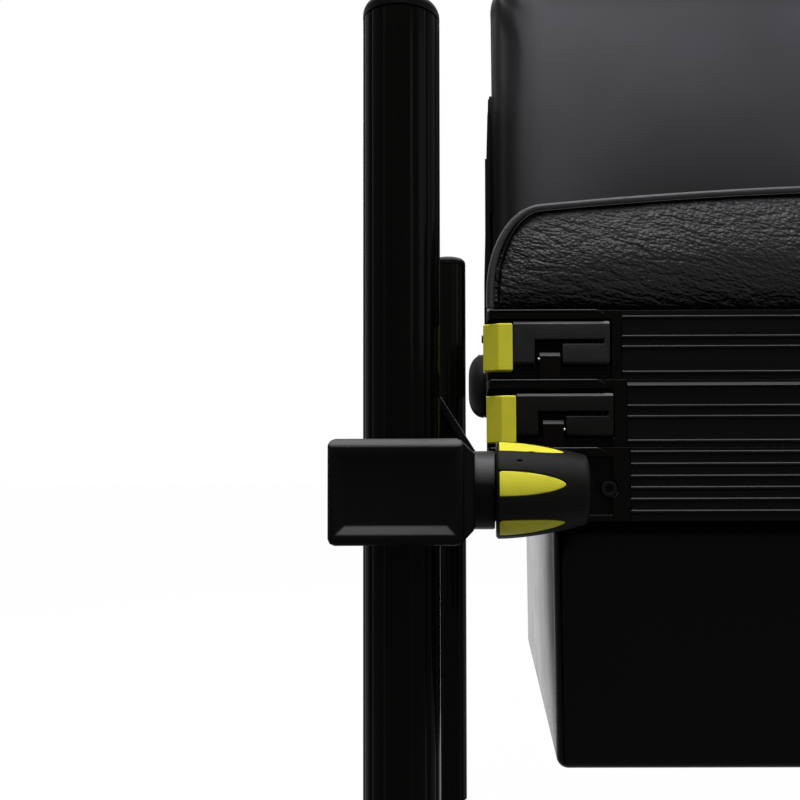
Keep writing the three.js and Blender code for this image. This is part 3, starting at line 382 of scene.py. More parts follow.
def steel(name, colour):
    """Plated steel with fine turned lines."""
    shader = Shader(name, colour, 0.3, Metallic=1.0)
    lines = shader.noise(1.0, 2.0, 0.6, shader.stretched((40, 900, 900)))
    shader.set("Roughness", lines.over(0.3, 0.7, 0.22, 0.4))
    shader.emboss(lines, 0.01 * MM, 0.4)
    return shader.material


def plywood(name, colour, cover):
    """Sanded plywood with long grain, bare underneath and covered elsewhere."""
    shader = Shader(name, colour, 0.6)
    rings = shader.noise(1.0, 4.0, 0.6, shader.stretched((18, 240, 240)), 1.5)
    bare = shader.tint(rings.over(0.3, 0.7), shaded(colour, 0.68), colour)
    shader.set("Base Color", shader.tint(shader.upward().over(-0.9, -0.6), bare, cover))
    shader.set("Roughness", rings.over(0.3, 0.7, 0.52, 0.7))
    shader.emboss(rings, 0.08 * MM, 0.5)
    return shader.material


FINISHES = {
    "plastic": lambda: moulded("Moulded plastic", settings().plastic),
    # the leg blocks take a brighter painted highlight on what slants up
    "block": lambda: moulded("Block plastic", settings().block, dust_and_highlight=0.16),
    "rail": lambda: extruded("Anodised rail", settings().rail),
    "anodised": lambda: anodised("Anodised tube", settings().anodised),
    "soft": lambda: moulded("Soft plastic", settings().soft, 0.5, 0.045, 1100.0, 0.05 * MM, 0.02),
    "lever": lambda: moulded("Lever plastic", settings().lever, 0.45, 0.05, 1300.0, 0.04 * MM, 0.22),
    # the tray's lever in the darker soft colour: a shaded copy of the lever finish, painted shade
    "lower lever": lambda: moulded("Lower lever", settings().soft, 0.45, 0.05, 1300.0, 0.04 * MM, 0.2),
    "bright": lambda: bright_plastic("Bright plastic", settings().bright),
    "tub": lambda: moulded("Tub plastic", settings().tub, 0.15, 0.03, 900.0, 0.0005 * MM, 0.02),
    "cushion": lambda: leather("Cushion leather", settings().cushion, size("creases") * MM),
    # the welts are the cushion leather made 2.6 times lighter: painted sheen
    "welt": lambda: leather("Welt leather", shaded(settings().cushion, 2.6), 0.12 * MM),
    # a stitched seam in dark tub plastic, which also deepens the crease's shade: partly painted shade
    "thread": lambda: moulded("Seam thread", settings().tub, 0.6, 0.01),
    "back": lambda: leather("Backrest leather", settings().back, 0.02 * MM, 0.5, 0.1),
    "rubber": lambda: rubber("Foot rubber", settings().rubber),
    "wood": lambda: plywood("Plywood", settings().wood, settings().tub),
    "steel": lambda: steel("Plated steel", settings().steel),
}
made_finishes = {}


def finish(name):
    """The material of a finish, made when it is first asked for."""
    if name not in made_finishes:
        made_finishes[name] = FINISHES[name]()
    return made_finishes[name]


def coat(piece, name):
    """Gives a piece one finish all over."""
    piece.data.materials.clear()
    piece.data.materials.append(finish(name))


# ---------------------------------------------------------------- modelling


def deselect():
    bpy.ops.object.select_all(action="DESELECT")


def only(piece):
    """Makes a piece the one that is active and selected."""
    deselect()
    piece.select_set(True)
    bpy.context.view_layer.objects.active = piece


def settled(name):
    """Names the active piece and puts its place into its mesh."""
    piece = bpy.context.object
    piece.name = piece.data.name = name
    bpy.ops.object.transform_apply(location=True, rotation=True, scale=True)
    return piece


@contextmanager
def editing(piece, kind="FACE"):
    """Edit mode on one piece, with all of it selected."""
    only(piece)
    bpy.ops.object.mode_set(mode="EDIT")
    bpy.ops.mesh.select_mode(type=kind)
    bpy.ops.mesh.select_all(action="SELECT")
    yield
    bpy.ops.object.mode_set(mode="OBJECT")


def pick(kind, test):
    """In edit mode, selects the vertices, edges or faces that pass a test."""
    bpy.ops.mesh.select_all(action="DESELECT")
    data = bpy.context.object.data
    mesh = bmesh.from_edit_mesh(data)
    for element in getattr(mesh, kind):
        if test(element):
            element.select_set(True)
    bmesh.update_edit_mesh(data)


def runs_up(edge):
    """Whether an edge stands upright."""
    return abs(edge.verts[0].co.z - edge.verts[1].co.z) > MM


def bevelled(width, segments=1):
    """In edit mode, bevels the selected edges by a width in millimetres."""
    bpy.ops.mesh.bevel(offset=width * MM, segments=segments, affect="EDGES")


def closed():
    """In edit mode, merges what coincides and turns all faces outwards."""
    bpy.ops.mesh.select_all(action="SELECT")
    bpy.ops.mesh.remove_doubles(threshold=DOUBLES)
    bpy.ops.mesh.normals_make_consistent(inside=False)


def modified(piece, kind, **options):
    """Adds a modifier to a piece."""
    modifier = piece.modifiers.new(kind, kind)
    for name, value in options.items():
        setattr(modifier, name, value)
    return modifier


def applied(piece, kind, **options):
    """Adds a modifier to a piece and applies it."""
    only(piece)
    bpy.ops.object.modifier_apply(modifier=modified(piece, kind, **options).name)
    return piece


def smoothed(piece, degrees=32):
    """Shades a piece smooth, apart from edges sharper than an angle."""
    only(piece)
    bpy.ops.object.shade_smooth_by_angle(angle=math.radians(degrees))
    return piece


def softened(node, width):
    """Lets a CAD node show rounded edges through modifiers, its own mesh left as it is."""
    mesh = node.data
    only(node)
    if mesh.has_custom_normals:
        bpy.ops.mesh.customdata_custom_splitnormals_clear()
    for polygon in mesh.polygons:
        polygon.use_smooth = True
    modified(node, "WELD", merge_threshold=DOUBLES)
    modified(node, "DECIMATE", decimate_type="DISSOLVE", angle_limit=FLAT)
    modified(
        node, "BEVEL", limit_method="ANGLE", angle_limit=math.radians(30), width=width, segments=2,
        harden_normals=True, miter_outer="MITER_ARC",
    )


def rounded(piece, width, segments=2, degrees=35):
    """Rounds a piece's sharp edges by a width in millimetres."""
    return applied(
        piece, "BEVEL", limit_method="ANGLE", angle_limit=math.radians(degrees), width=width * MM,
        segments=segments, use_clamp_overlap=False,
    )


def carved(piece, tool, operation="DIFFERENCE"):
    """Cuts a piece with a tool, or keeps what they share, and deletes the tool."""
    applied(piece, "BOOLEAN", operation=operation, object=tool, solver="EXACT")
    bpy.data.meshes.remove(tool.data)
    return piece


def joined(name, *pieces):
    """One piece out of several."""
    only(pieces[0])
    for piece in pieces:
        piece.select_set(True)
    bpy.ops.object.join()
    return settled(name)


def cube(name, low, high):
    """A block between two corners."""
    deselect()
    middle = [(a + b) / 2 for a, b in zip(low, high)]
    size = [b - a for a, b in zip(low, high)]
    bpy.ops.mesh.primitive_cube_add(size=1, location=middle, scale=size)
    return settled(name)


def traced(name, points):
    """A line of vertices, drawn by extruding one vertex from point to point."""
    deselect()
    bpy.ops.mesh.primitive_plane_add(size=MM, location=points[0])
    line = settled(name)
    with editing(line, "VERT"):
        bpy.ops.mesh.merge(type="CENTER")
        for here, there in zip(points, points[1:]):
            step = tuple(b - a for a, b in zip(here, there))
            bpy.ops.mesh.extrude_region_move(TRANSFORM_OT_translate={"value": step})
    return line


def slab(name, outline, depth):
    """A flat outline, filled and pushed along a direction."""
    piece = traced(name, outline)
    with editing(piece, "VERT"):
        bpy.ops.mesh.edge_face_add()
        bpy.ops.mesh.extrude_region_move(TRANSFORM_OT_translate={"value": depth})
        closed()
    return piece


def turned(name, profile, centre, axis, steps):
    """A body of revolution about X or Z, from a profile of (radius, distance along), in millimetres."""
    along, out = Vector((1, 0, 0)), Vector((0, 0, 1))
    if axis == "Z":
        along, out = out, along
    centre = Vector(millimetres(*centre))
    points = [centre + along * (far * MM) + out * (radius * MM) for radius, far in profile]
    piece = traced(name, points)
    with editing(piece, "VERT"):
        bpy.ops.mesh.spin(steps=steps, angle=FULL_TURN, center=centre, axis=along)
        closed()
    return piece


def arc(middle, reach, start, end, steps, rise=None):
    """Points on an arc in the plane of a profile, by angle in degrees; with a rise, on an ellipse's."""
    turns = [math.radians(start + (end - start) * k / steps) for k in range(steps + 1)]
    rise = reach if rise is None else rise
    return [(middle[0] + reach * math.cos(a), middle[1] + rise * math.sin(a)) for a in turns]


def clamped(share):
    """A share kept from nought to one."""
    return min(1.0, max(0.0, share))


def eased(value, start, end):
    """Nought before a start, one after an end, and a smooth step between them."""
    share = clamped((value - start) / (end - start))
    return share * share * (3 - 2 * share)


def puffed(piece, held, cap, pressure):
    """Blows a sewn cover up with a cloth simulation, with its seams held and each point's move capped."""
    start = [vertex.co.copy() for vertex in piece.data.vertices]
    group = piece.vertex_groups.new(name="held")
    group.add([v.index for v in piece.data.vertices if held(v.co)], 1.0, "REPLACE")
    cloth = modified(piece, "CLOTH")
    cloth.settings.use_pressure = True
    cloth.settings.uniform_pressure_force = pressure
    cloth.settings.vertex_group_mass = group.name
    cloth.settings.effector_weights.gravity = 0
    cloth.point_cache.frame_start, cloth.point_cache.frame_end = 1, PUFF_FRAMES
    for step in range(1, PUFF_FRAMES + 1):
        bpy.context.scene.frame_set(step)
    only(piece)
    bpy.ops.object.modifier_apply(modifier=cloth.name)
    bpy.context.scene.frame_set(1)
    for vertex, place in zip(piece.data.vertices, start):
        move = vertex.co - place
        if move.length > cap:
            vertex.co = place + move * (cap / move.length)
    piece.vertex_groups.clear()


def note_painted_shade(piece, painted_shade):
    """Notes on each point how much painted shade its leather takes, for its finish."""
    drawn = piece.data.attributes.new("drawn", "FLOAT", "POINT")
    for index, vertex in enumerate(piece.data.vertices):
        drawn.data[index].value = painted_shade(vertex.co.x / MM, vertex.co.z / MM)


def piping(name, path, radius):
    """A round strip along a path, of a radius in millimetres, closed at its ends."""
    line = traced(name, path)
    only(line)
    bpy.ops.object.convert(target="CURVE")
    strip = bpy.context.object
    strip.data.bevel_depth = radius * MM
    strip.data.bevel_resolution = 4
    strip.data.use_fill_caps = True
    bpy.ops.object.convert(target="MESH")
    strip = settled(name)
    with editing(strip):
        closed()
    return smoothed(strip, 60)


def copied(node_name, name):
    """A merged copy of a CAD node, without the triangles' flat edges."""
    node = bpy.data.objects[node_name]
    only(node)
    bpy.ops.object.duplicate()
    piece = bpy.context.object
    piece.modifiers.clear()
    piece = settled(name)
    if piece.data.has_custom_normals:
        bpy.ops.mesh.customdata_custom_splitnormals_clear()
    with editing(piece):
        closed()
        bpy.ops.mesh.dissolve_limited(angle_limit=FLAT)
    return piece


def mirrored(piece, name, scale):
    """A copy with its own mesh, mirrored in the planes whose scale is -1."""
    only(piece)
    bpy.ops.object.duplicate()
    bpy.ops.transform.resize(value=scale, center_override=(0, 0, 0))
    copy = settled(name)
    if scale[0] * scale[1] < 0:
        with editing(copy):
            bpy.ops.mesh.flip_normals()
    return copy


def placed(piece, look, body, slot, *nodes):
    """Finishes a piece, ties it to its body and lets it stand for CAD nodes."""
    coat(piece, look)
    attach(piece, body)
    if nodes:
        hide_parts(*nodes)


def spread(piece, places, stem, look, body, slot, *nodes):
    """Mirrors a piece into its other places and finishes them all; * stands for each one's place."""
    copies = {}
    for place, scale in places.items():
        name = f"{stem}_{place}"
        copies[place] = mirrored(piece, name, scale) if copies else piece
        copies[place].name = copies[place].data.name = name
    for place, copy in copies.items():
        names = [name.replace("*", place) for name in (body, *nodes)]
        placed(copy, look, names[0], slot, *names[1:])


# ---------------------------------------------------------------- stage


class SEATBOX_OT_stage(bpy.types.Operator):
    """Sets the camera, the lamps, the floor and the background"""

    bl_idname = "seatbox.stage"
    bl_label = "Stage"

    EYE, TURN = (-227.9, -644.5, 367.3), (91.48, 0.2, 0.26)  # the camera's place, and its turn in degrees
    LENS, SHIFT, NEAR = 38.55, (-0.104, 0.0585), 0.01
    AIM = (-0.1, -0.1, 0.4)  # where the lamps point
    # name, place and size in metres, power in watts
    LAMPS = (
        ("lamp_top", (-0.15, -0.38, 1.5), (0.8, 0.5), 14.5),
        ("lamp_front", (-0.35, -1.2, 1.85), (1.0, 1.0), 11.5),
        ("lamp_right", (1.9, -1.0, 1.2), (1.0, 1.0), 8),
        ("lamp_rear", (-0.2, 1.9, 1.5), (1.2, 1.0), 10),
    )
    WHITE = (1, 1, 1, 1)
    FLOOR_SIZE, FLOOR_GREY, FLOOR_GLOW, FLOOR_SHARE = 40, 0.22, 1.12, 0.88
    SKY_LIGHT = 0.11

    def execute(self, context):
        self.camera(context)
        self.lamps(context)
        self.floor()
        self.sky(context)
        context.scene.view_settings.view_transform = "Standard"
        return {"FINISHED"}

    def camera(self, context):
        turn = [math.radians(degrees) for degrees in self.TURN]
        bpy.ops.object.camera_add(location=millimetres(*self.EYE), rotation=turn)
        camera = context.object
        camera.name = "camera"
        camera.data.lens = self.LENS
        camera.data.sensor_width = 36
        camera.data.shift_x, camera.data.shift_y = self.SHIFT
        camera.data.clip_start = self.NEAR
        context.scene.camera = camera

    def lamps(self, context):
        for name, place, size, power in self.LAMPS:
            bpy.ops.object.light_add(type="AREA", location=place)
            lamp = context.object
            lamp.name = name
            lamp.data.shape = "RECTANGLE"
            lamp.data.size, lamp.data.size_y = size
            lamp.data.energy = power
            aim = Vector(self.AIM) - Vector(place)
            lamp.rotation_euler = aim.to_track_quat("-Z", "Y").to_euler()

    def floor(self):
        bpy.ops.mesh.primitive_plane_add(size=self.FLOOR_SIZE)
        floor = settled("floor")
        shader = Shader("Floor", (self.FLOOR_GREY,) * 3, 0.8, Specular_IOR_Level=0.0)
        glow = shader.node("ShaderNodeEmission", {}, {"Color": self.WHITE, "Strength": self.FLOOR_GLOW})
        lit = Value(shader, shader.surface.outputs[0])
        shader.backdrop("Material Output", lit, glow, self.FLOOR_SHARE)
        floor.data.materials.append(shader.material)

    def sky(self, context):
        context.scene.world = context.scene.world or bpy.data.worlds.new("Sky")
        sky = Nodes(context.scene.world)
        light = sky.tree.nodes["Background"]
        sky.feed(light.inputs["Color"], self.WHITE)
        sky.feed(light.inputs["Strength"], self.SKY_LIGHT)
        white = sky.node("ShaderNodeBackground", {}, {"Color": self.WHITE})
        sky.backdrop("World Output", Value(sky, light.outputs[0]), white, 1.0)


class SEATBOX_OT_shells(bpy.types.Operator):
    """Finishes the pieces whose CAD shape stays"""

    bl_idname = "seatbox.shells"
    bl_label = "Castings and rails"

    # what a node's name starts with, its finish, and the width of its soft edges in millimetres
    DRESS = (
        ("frame_corner", "plastic", 0.4), ("tray_corner", "plastic", 0.4),
        ("seat_corner", "plastic", 0.4), ("frame_", "rail", 0.15), ("tray_front", "rail", 0.15),
        ("tray_body", "rail", 0.15), ("tray_hinge", "steel", 0.2), ("seat_front", "rail", 0.15),
        ("seat_shell", "rail", 0.15), ("seat_board", "wood", 0.4), ("seat_hinge", "steel", 0.2),
        ("storage_tub", "tub", 0.6), ("leg_block", "block", 0.5), ("leg_tube", "anodised", 0.15),
        ("leg_cap", "plastic", 0.3), ("leg_foot", "rubber", 0.4), ("leg_knob", "soft", 0.3),
        ("knob_insert", "bright", 0.2), ("cushion", "cushion", 0.5), ("latch_lever", "soft", 0.35),
        ("latch_tab", "bright", 0.3), ("recliner", "plastic", 0.4), ("backrest_upright", "plastic", 0.6),
        ("backrest_shell", "plastic", 0.8), ("backrest_pad", "back", 0.5),
    )

    def execute(self, context):
        for name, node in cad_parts.items():
            self.dress(name, node)
        return {"FINISHED"}

    def dress(self, name, node):
        for stem, look, width in self.DRESS:
            if name.startswith(stem):
                coat(node, look)
                softened(node, width * MM)
                return
        raise ValueError(f"no finish for {name}")


class SEATBOX_OT_knobs(bpy.types.Operator):
    """Makes the clamp knobs with their bright petals"""

    bl_idname = "seatbox.knobs"
    bl_label = "Clamp knobs"

    START, END = 4.2, 46.8  # in from the box's side
    ROUND = 3.2
    PETAL_START, PETAL_END = 5.6, 35.4
    FIRST_PETAL = 9  # degrees up from the front
    CENTRE = (-228, -244.5, 357.4)
    SLOT_PLACE, SLOT_TURN = 14.7, 38

    def execute(self, context):
        body = turned("leg_clamp_knob", self.skin(0), self.CENTRE, "X", 96)
        carved(body, self.petal_tool(0.32, 13.5))
        carved(body, self.slot_tool())
        smoothed(rounded(body, 0.28))
        petals = turned("knob_petals", self.skin(-0.15), self.CENTRE, "X", 96)
        carved(petals, self.petal_tool(0, 11), "INTERSECT")
        smoothed(rounded(petals, 0.3))
        spread(body, CORNERS, "clamp_knob", "soft", "knob_*", "soft_black", "leg_knob_*")
        spread(petals, CORNERS, "knob_petals", "bright", "knob_*", "yellow", "knob_insert_*")
        return {"FINISHED"}

    def skin(self, grow):
        """The profile from rim to free end, grown by some millimetres."""
        low, high = self.START + 1, self.END - self.ROUND
        wide, narrow = size("knob_rim"), size("knob_nose")
        flank = [
            (wide - (wide - narrow) * (k / 12) ** 1.7 + grow, low + (high - low) * k / 12) for k in range(12)
        ]
        nose = arc((narrow - self.ROUND, high), self.ROUND + grow, 0, 90, 6)
        dish = [(10.4, self.END + grow), (9.8, self.END - 0.7), (0, self.END - 0.7)]
        rim = [(0, self.START - grow), (wide - 1 + grow, self.START - grow)]
        return [*rim, *flank, *nose, *dish]

    def axes(self, degrees):
        """Two directions square to the knob's axis: out, at an angle up from the front, and across."""
        turn = math.radians(90 - degrees)
        out = Vector((0, -math.sin(turn), math.cos(turn)))
        return out, Vector((0, math.cos(turn), math.sin(turn)))

    def petal_tool(self, grow, root):
        """Prisms that point out from the axis, rounded to a tip at the free end."""
        out, across = self.axes(self.FIRST_PETAL)
        centre = Vector(millimetres(*self.CENTRE))
        base = centre + out * root * MM
        edge = []
        for k in range(15):
            share = math.sin(math.pi / 2 * k / 14)
            half = (size("petal_half") + grow) * (1 - share**2) ** 0.6
            far = self.PETAL_START - grow + (self.PETAL_END - self.PETAL_START + 2 * grow) * share
            edge.append((far, half))
        edge += [(far, -half) for far, half in reversed(edge[:-1])]
        outline = [base + Vector((far * MM, 0, 0)) + across * (half * MM) for far, half in edge]
        tool = slab("petal_tool", outline, out * (26 - root) * MM)
        with editing(tool):
            bpy.ops.mesh.spin(
                steps=number("petals"), dupli=True, angle=FULL_TURN, center=centre, axis=(1, 0, 0)
            )
            closed()
        return tool

    def slot_tool(self):
        """A small oval prism for the slot between two petals."""
        out, across = self.axes(self.SLOT_TURN)
        centre = Vector(millimetres(*self.CENTRE))
        base = centre + out * 21 * MM + Vector((self.SLOT_PLACE * MM, 0, 0))
        outline = []
        for x, y in arc((0.75, 0), 0.45, -90, 90, 6) + arc((-0.75, 0), 0.45, 90, 270, 6):
            outline.append(base + Vector((x * MM, 0, 0)) + across * (y * MM))
        return slab("slot_tool", outline, out * 4 * MM)


class SEATBOX_OT_latches(bpy.types.Operator):
    """Makes the latch levers, with a lit chamfer, a slit and the pins that they catch"""

    bl_idname = "seatbox.latches"
    bl_label = "Latches"

    SIDE = -228  # the box's left side
    BAR, FOOT = 12.8, 10.2  # underside of the bar and top of the foot block, above the lever's base
    ROUNDING = 0.3
    PIN_HALF, PIN_RADIUS, PIN_Y = 5.5, 0.75, -209.2
    # module: lever's shift inwards, its finish, body that carries its catch, where the catch's pin is
    MODULES = {
        "seat": (0, "lever", "tray", (31.6, 423.2)),
        # the tray's lever takes a darker finish than the seat's: painted shade
        "tray": (1.6, "lower lever", "frame", (34.6, 387.2)),
    }

    def execute(self, context):
        for module, (shift, look, catch, pin) in self.MODULES.items():
            self.levers(module, shift, look)
            self.catch_pins(module, catch, pin)
        return {"FINISHED"}

    def levers(self, module, shift, look):
        low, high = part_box(f"latch_lever_{module}_left")
        left = self.SIDE + shift
        outline = [
            (13.6, 0), (24.5, 0), (24.5, self.BAR), (60, self.BAR), (60, self.FOOT), (38.8, self.FOOT),
            (38.8, 0), (62.7, 0), (62.7, 22), (13.6, 22),
        ]
        points = [((left + x) * MM, low[1], low[2] + z * MM) for x, z in outline]
        lever = slab("lever", points, (0, high[1] - low[1], 0))
        self.chamfer(lever, low[1], high[2], size("lever_top"))
        self.chamfer(lever, low[1], low[2], size("lever_low"))
        smoothed(rounded(lever, self.ROUNDING))
        nodes = f"latch_lever_{module}_*"
        spread(lever, SIDES, f"lever_{module}", look, f"latch_{module}_*", "soft_black", nodes)

    def chamfer(self, lever, front, height, width):
        """Cuts back the front edge that runs along a height."""
        with editing(lever, "EDGE"):
            pick("edges", lambda edge: all(
                abs(v.co.y - front) < DOUBLES and abs(v.co.z - height) < DOUBLES for v in edge.verts
            ))
            bevelled(width)

    def catch_pins(self, module, body, place):
        """A steel pin through the catch that stands in the lever's window."""
        across, height = place
        half, radius = self.PIN_HALF, self.PIN_RADIUS
        profile = [(0, -half), (radius * 0.6, -half), (radius, -half + 0.3)]
        profile += [(radius, half - 0.3), (radius * 0.6, half), (0, half)]
        pin = smoothed(turned("catch_pin", profile, (self.SIDE + across, self.PIN_Y, height), "X", 16))
        spread(pin, SIDES, f"catch_pin_{module}", "steel", body, "steel")


class SEATBOX_OT_legs(bpy.types.Operator):
    """Makes the fluted leg tubes, their caps and the feet"""

    bl_idname = "seatbox.legs"
    bl_label = "Legs"

    AXIS = (-267.7, -244.5, 0)
    RADIUS, FOOT_END, TOP, CAP_TOP = 18, 30, 577.7, 586
    STEPS_PER_FLUTE = 10
    FLUTE_REACH = (0.13, 0.06)  # from a flute's middle, as a share of the pitch: each goes half the depth in

    def execute(self, context):
        tube, cap, foot = self.tube(), self.cap(), self.foot()
        spread(tube, CORNERS, "fluted_leg", "anodised", "leg_*", "anodised", "leg_tube_*")
        spread(cap, CORNERS, "end_cap", "plastic", "leg_*", "block", "leg_cap_*")
        spread(foot, CORNERS, "mud_foot", "rubber", "foot_*", "foot_rubber", "leg_foot_*")
        return {"FINISHED"}

    def tube(self):
        """The tube, its drawn flutes, its threaded stud and the ball at the bottom."""
        deselect()
        flutes = number("flutes")
        bpy.ops.mesh.primitive_circle_add(
            vertices=flutes * self.STEPS_PER_FLUTE, radius=self.RADIUS * MM,
            location=millimetres(*self.AXIS[:2], self.FOOT_END), fill_type="NGON",
        )
        tube = settled("leg_tube_skin")
        centre = Vector(millimetres(*self.AXIS))
        axis = centre.to_2d()
        pitch = FULL_TURN / flutes
        shrink = 1 - size("flute_depth") * 0.5 / self.RADIUS
        with editing(tube, "VERT"):
            for reach in self.FLUTE_REACH:
                def in_flute(vertex):
                    turn = math.atan2(*(vertex.co.to_2d() - axis))
                    return abs((turn / pitch + 0.5) % 1 - 0.5) < reach
                pick("verts", in_flute)
                bpy.ops.transform.resize(value=(shrink, shrink, 1), center_override=centre)
            bpy.ops.mesh.select_all(action="SELECT")
            length = (self.TOP - self.FOOT_END) * MM
            bpy.ops.mesh.extrude_region_move(TRANSFORM_OT_translate={"value": (0, 0, length)})
            closed()
        rounded(tube, 0.25, 1, 60)
        profile = [
            (0, 8.3), *arc((0, 16), 7.8, -75, 60, 12), (4, 24), (4, 27.2), (9, 27.4), (15, 29.9), (0, 29.9),
        ]
        stud = turned("stud", profile, self.AXIS, "Z", 32)
        return smoothed(joined("leg_tube_skin", tube, stud), 25)

    def cap(self):
        profile = [
            (0, self.TOP + 0.1), (17.4, self.TOP + 0.1), (17.4, self.TOP + 0.5), (18, self.TOP + 0.7),
            *arc((12.5, self.CAP_TOP - 5.5), 5.5, 0, 90, 8), (0, self.CAP_TOP),
        ]
        return smoothed(turned("cap", profile, self.AXIS, "Z", 96), 40)

    def foot(self):
        """A broad disc with a ribbed rim, a stepped shoulder and a socket for the ball."""
        profile = [
            (0, 0), (37, 0), (38, 0.8), (41, 0.8), (42, 1.8), (42, 4.6), (41, 6), (38, 6.3), (37.4, 5.4),
            (35.4, 5.4), (34.8, 6.9), (30, 7.6), (29.4, 6.8), (27.4, 6.9), (26.8, 8.2), (20, 9.4),
            *arc((15.6, 12.4), 2.6, 250, 180, 4), (13, 21.4), (12.2, 22.7), (9.6, 23), (8.6, 22), (8.6, 15),
            (0, 8.1),
        ]
        foot = turned("foot", profile, self.AXIS, "Z", 96)
        rounded(foot, 0.25, 1, 30)
        return smoothed(foot, 35)


class SEATBOX_OT_blocks(bpy.types.Operator):
    """Makes the leg blocks, with a broad chamfer along the top of their framed front"""

    bl_idname = "seatbox.blocks"
    bl_label = "Leg blocks"

    LEFT, RIGHT, FRONT, TOP = -297.3, -238.1, -274.5, 380.7
    EDGE = 0.7

    def execute(self, context):
        block = copied("leg_block_front_left", "block_front")
        carved(block, self.wedge())
        rounded(block, self.EDGE)
        smoothed(block, 30)
        spread(block, CORNERS, "framed_block", "block", "frame", "block", "leg_block_*")
        return {"FINISHED"}

    def wedge(self):
        """A prism that takes the top front edge off."""
        over, chamfer = 4, size("block_chamfer")
        outline = [
            (self.FRONT - over, self.TOP - chamfer - over), (self.FRONT - over, self.TOP + over),
            (self.FRONT + chamfer + over, self.TOP + over),
        ]
        points = [millimetres(self.LEFT - over, y, z) for y, z in outline]
        return slab("wedge", points, ((self.RIGHT - self.LEFT + 2 * over) * MM, 0, 0))


class SEATBOX_OT_screws(bpy.types.Operator):
    """Makes the socket screws in the wells of the frame's corner castings"""

    bl_idname = "seatbox.screws"
    bl_label = "Screws"

    PLACE, LENGTH, SOCKET = (-165.8, -206.2, 356.9), 4, 2.3

    def execute(self, context):
        head = self.cylinder("screw_head", 48, size("screw_head"), self.PLACE[1])
        carved(head, self.cylinder("socket", 6, self.SOCKET, self.PLACE[1] - self.LENGTH / 2))
        smoothed(rounded(head, 0.3))
        spread(head, CORNERS, "corner_screw", "soft", "frame", "steel")
        return {"FINISHED"}

    def cylinder(self, name, sides, radius, y):
        """A rod along Y."""
        deselect()
        x, z = self.PLACE[0], self.PLACE[2]
        bpy.ops.mesh.primitive_cylinder_add(
            vertices=sides, radius=radius * MM, depth=self.LENGTH * MM, location=millimetres(x, y, z),
            rotation=(math.pi / 2, 0, 0),
        )
        return settled(name)


class SEATBOX_OT_beads(bpy.types.Operator):
    """Makes the fine beads on the front castings' flanges and the broad lit edge of the tray's rail"""

    bl_idname = "seatbox.beads"
    bl_label = "Beads and tray edge"

    TOPS = {"seat": 448.2, "tray": 412.6, "frame": 378.0}
    START, END, FRONT = -226, -172, -210.3
    RADIUS, DROP = 0.6, 0.5
    TRAY_HALF = 156.2
    TRAY_EDGE = ((-207.7, 411.2), (-209.2, 409.5), (-208.6, 409.2), (-207.4, 409.2), (-207.4, 411.2))

    def execute(self, context):
        points = [millimetres(-self.TRAY_HALF, y, z) for y, z in self.TRAY_EDGE]
        strip = slab("tray_edge_strip", points, (2 * self.TRAY_HALF * MM, 0, 0))
        placed(strip, "rail", "tray", "rail")
        for module, top in self.TOPS.items():
            path = [millimetres(x, self.FRONT, top - self.DROP) for x in (self.START, self.END)]
            bead = piping("corner_bead", path, self.RADIUS)
            spread(bead, SIDES, f"corner_bead_{module}", "block", module, "block")
        return {"FINISHED"}


class SEATBOX_OT_tub(bpy.types.Operator):
    """Makes the deep storage tub, tapered, rounded and open at the top"""

    bl_idname = "seatbox.tub"
    bl_label = "Tub"

    RIM_HALF, BOTTOM, RIM, DRAFT = (191.5, 172), 201.6, 339.4, 1.6
    EDGE, FLANGE, LIP = 6.0, 8, (-0.8, 1.2)  # roundness of the bottom edge; the lip's reach and its heights

    def execute(self, context):
        tub = joined("deep_tub", self.basin(), self.lip())
        rounded(tub, 0.4, 2, 50)
        smoothed(tub, 30)
        placed(tub, "tub", "frame", "tub", "storage_tub")
        return {"FINISHED"}

    def about(self, name, out, low, high):
        """A block about the middle, some millimetres out past the rim."""
        x, y = (half + out for half in self.RIM_HALF)
        return cube(name, millimetres(-x, -y, low), millimetres(x, y, high))

    def basin(self):
        half_x, half_y = self.RIM_HALF
        tub = self.about("deep_tub", 0, self.BOTTOM, self.RIM)
        with editing(tub):
            pick("faces", lambda face: face.normal.z < -0.5)
            bpy.ops.transform.resize(
                value=(1 - self.DRAFT / half_x, 1 - self.DRAFT / half_y, 1), center_override=(0, 0, 0)
            )
        with editing(tub, "EDGE"):
            pick("edges", runs_up)
            bevelled(size("tub_corner"), 8)
            pick("edges", lambda edge: all(v.co.z < (self.BOTTOM + 0.1) * MM for v in edge.verts))
            bevelled(self.EDGE, 5)
        with editing(tub):
            pick("faces", lambda face: face.normal.z > 0.99)
            bpy.ops.mesh.delete(type="FACE")
        return applied(tub, "SOLIDIFY", thickness=size("tub_wall") * MM, offset=-1)

    def lip(self):
        wall = size("tub_wall")
        low, high = (self.RIM + height for height in self.LIP)
        lip = self.about("tub_lip", self.FLANGE, low, high)
        hole = self.about("lip_hole", -wall, self.RIM - 9, self.RIM + 9)
        for block in (lip, hole):
            with editing(block, "EDGE"):
                pick("edges", runs_up)
                bevelled(size("tub_corner") - wall, 8)
        return carved(lip, hole)


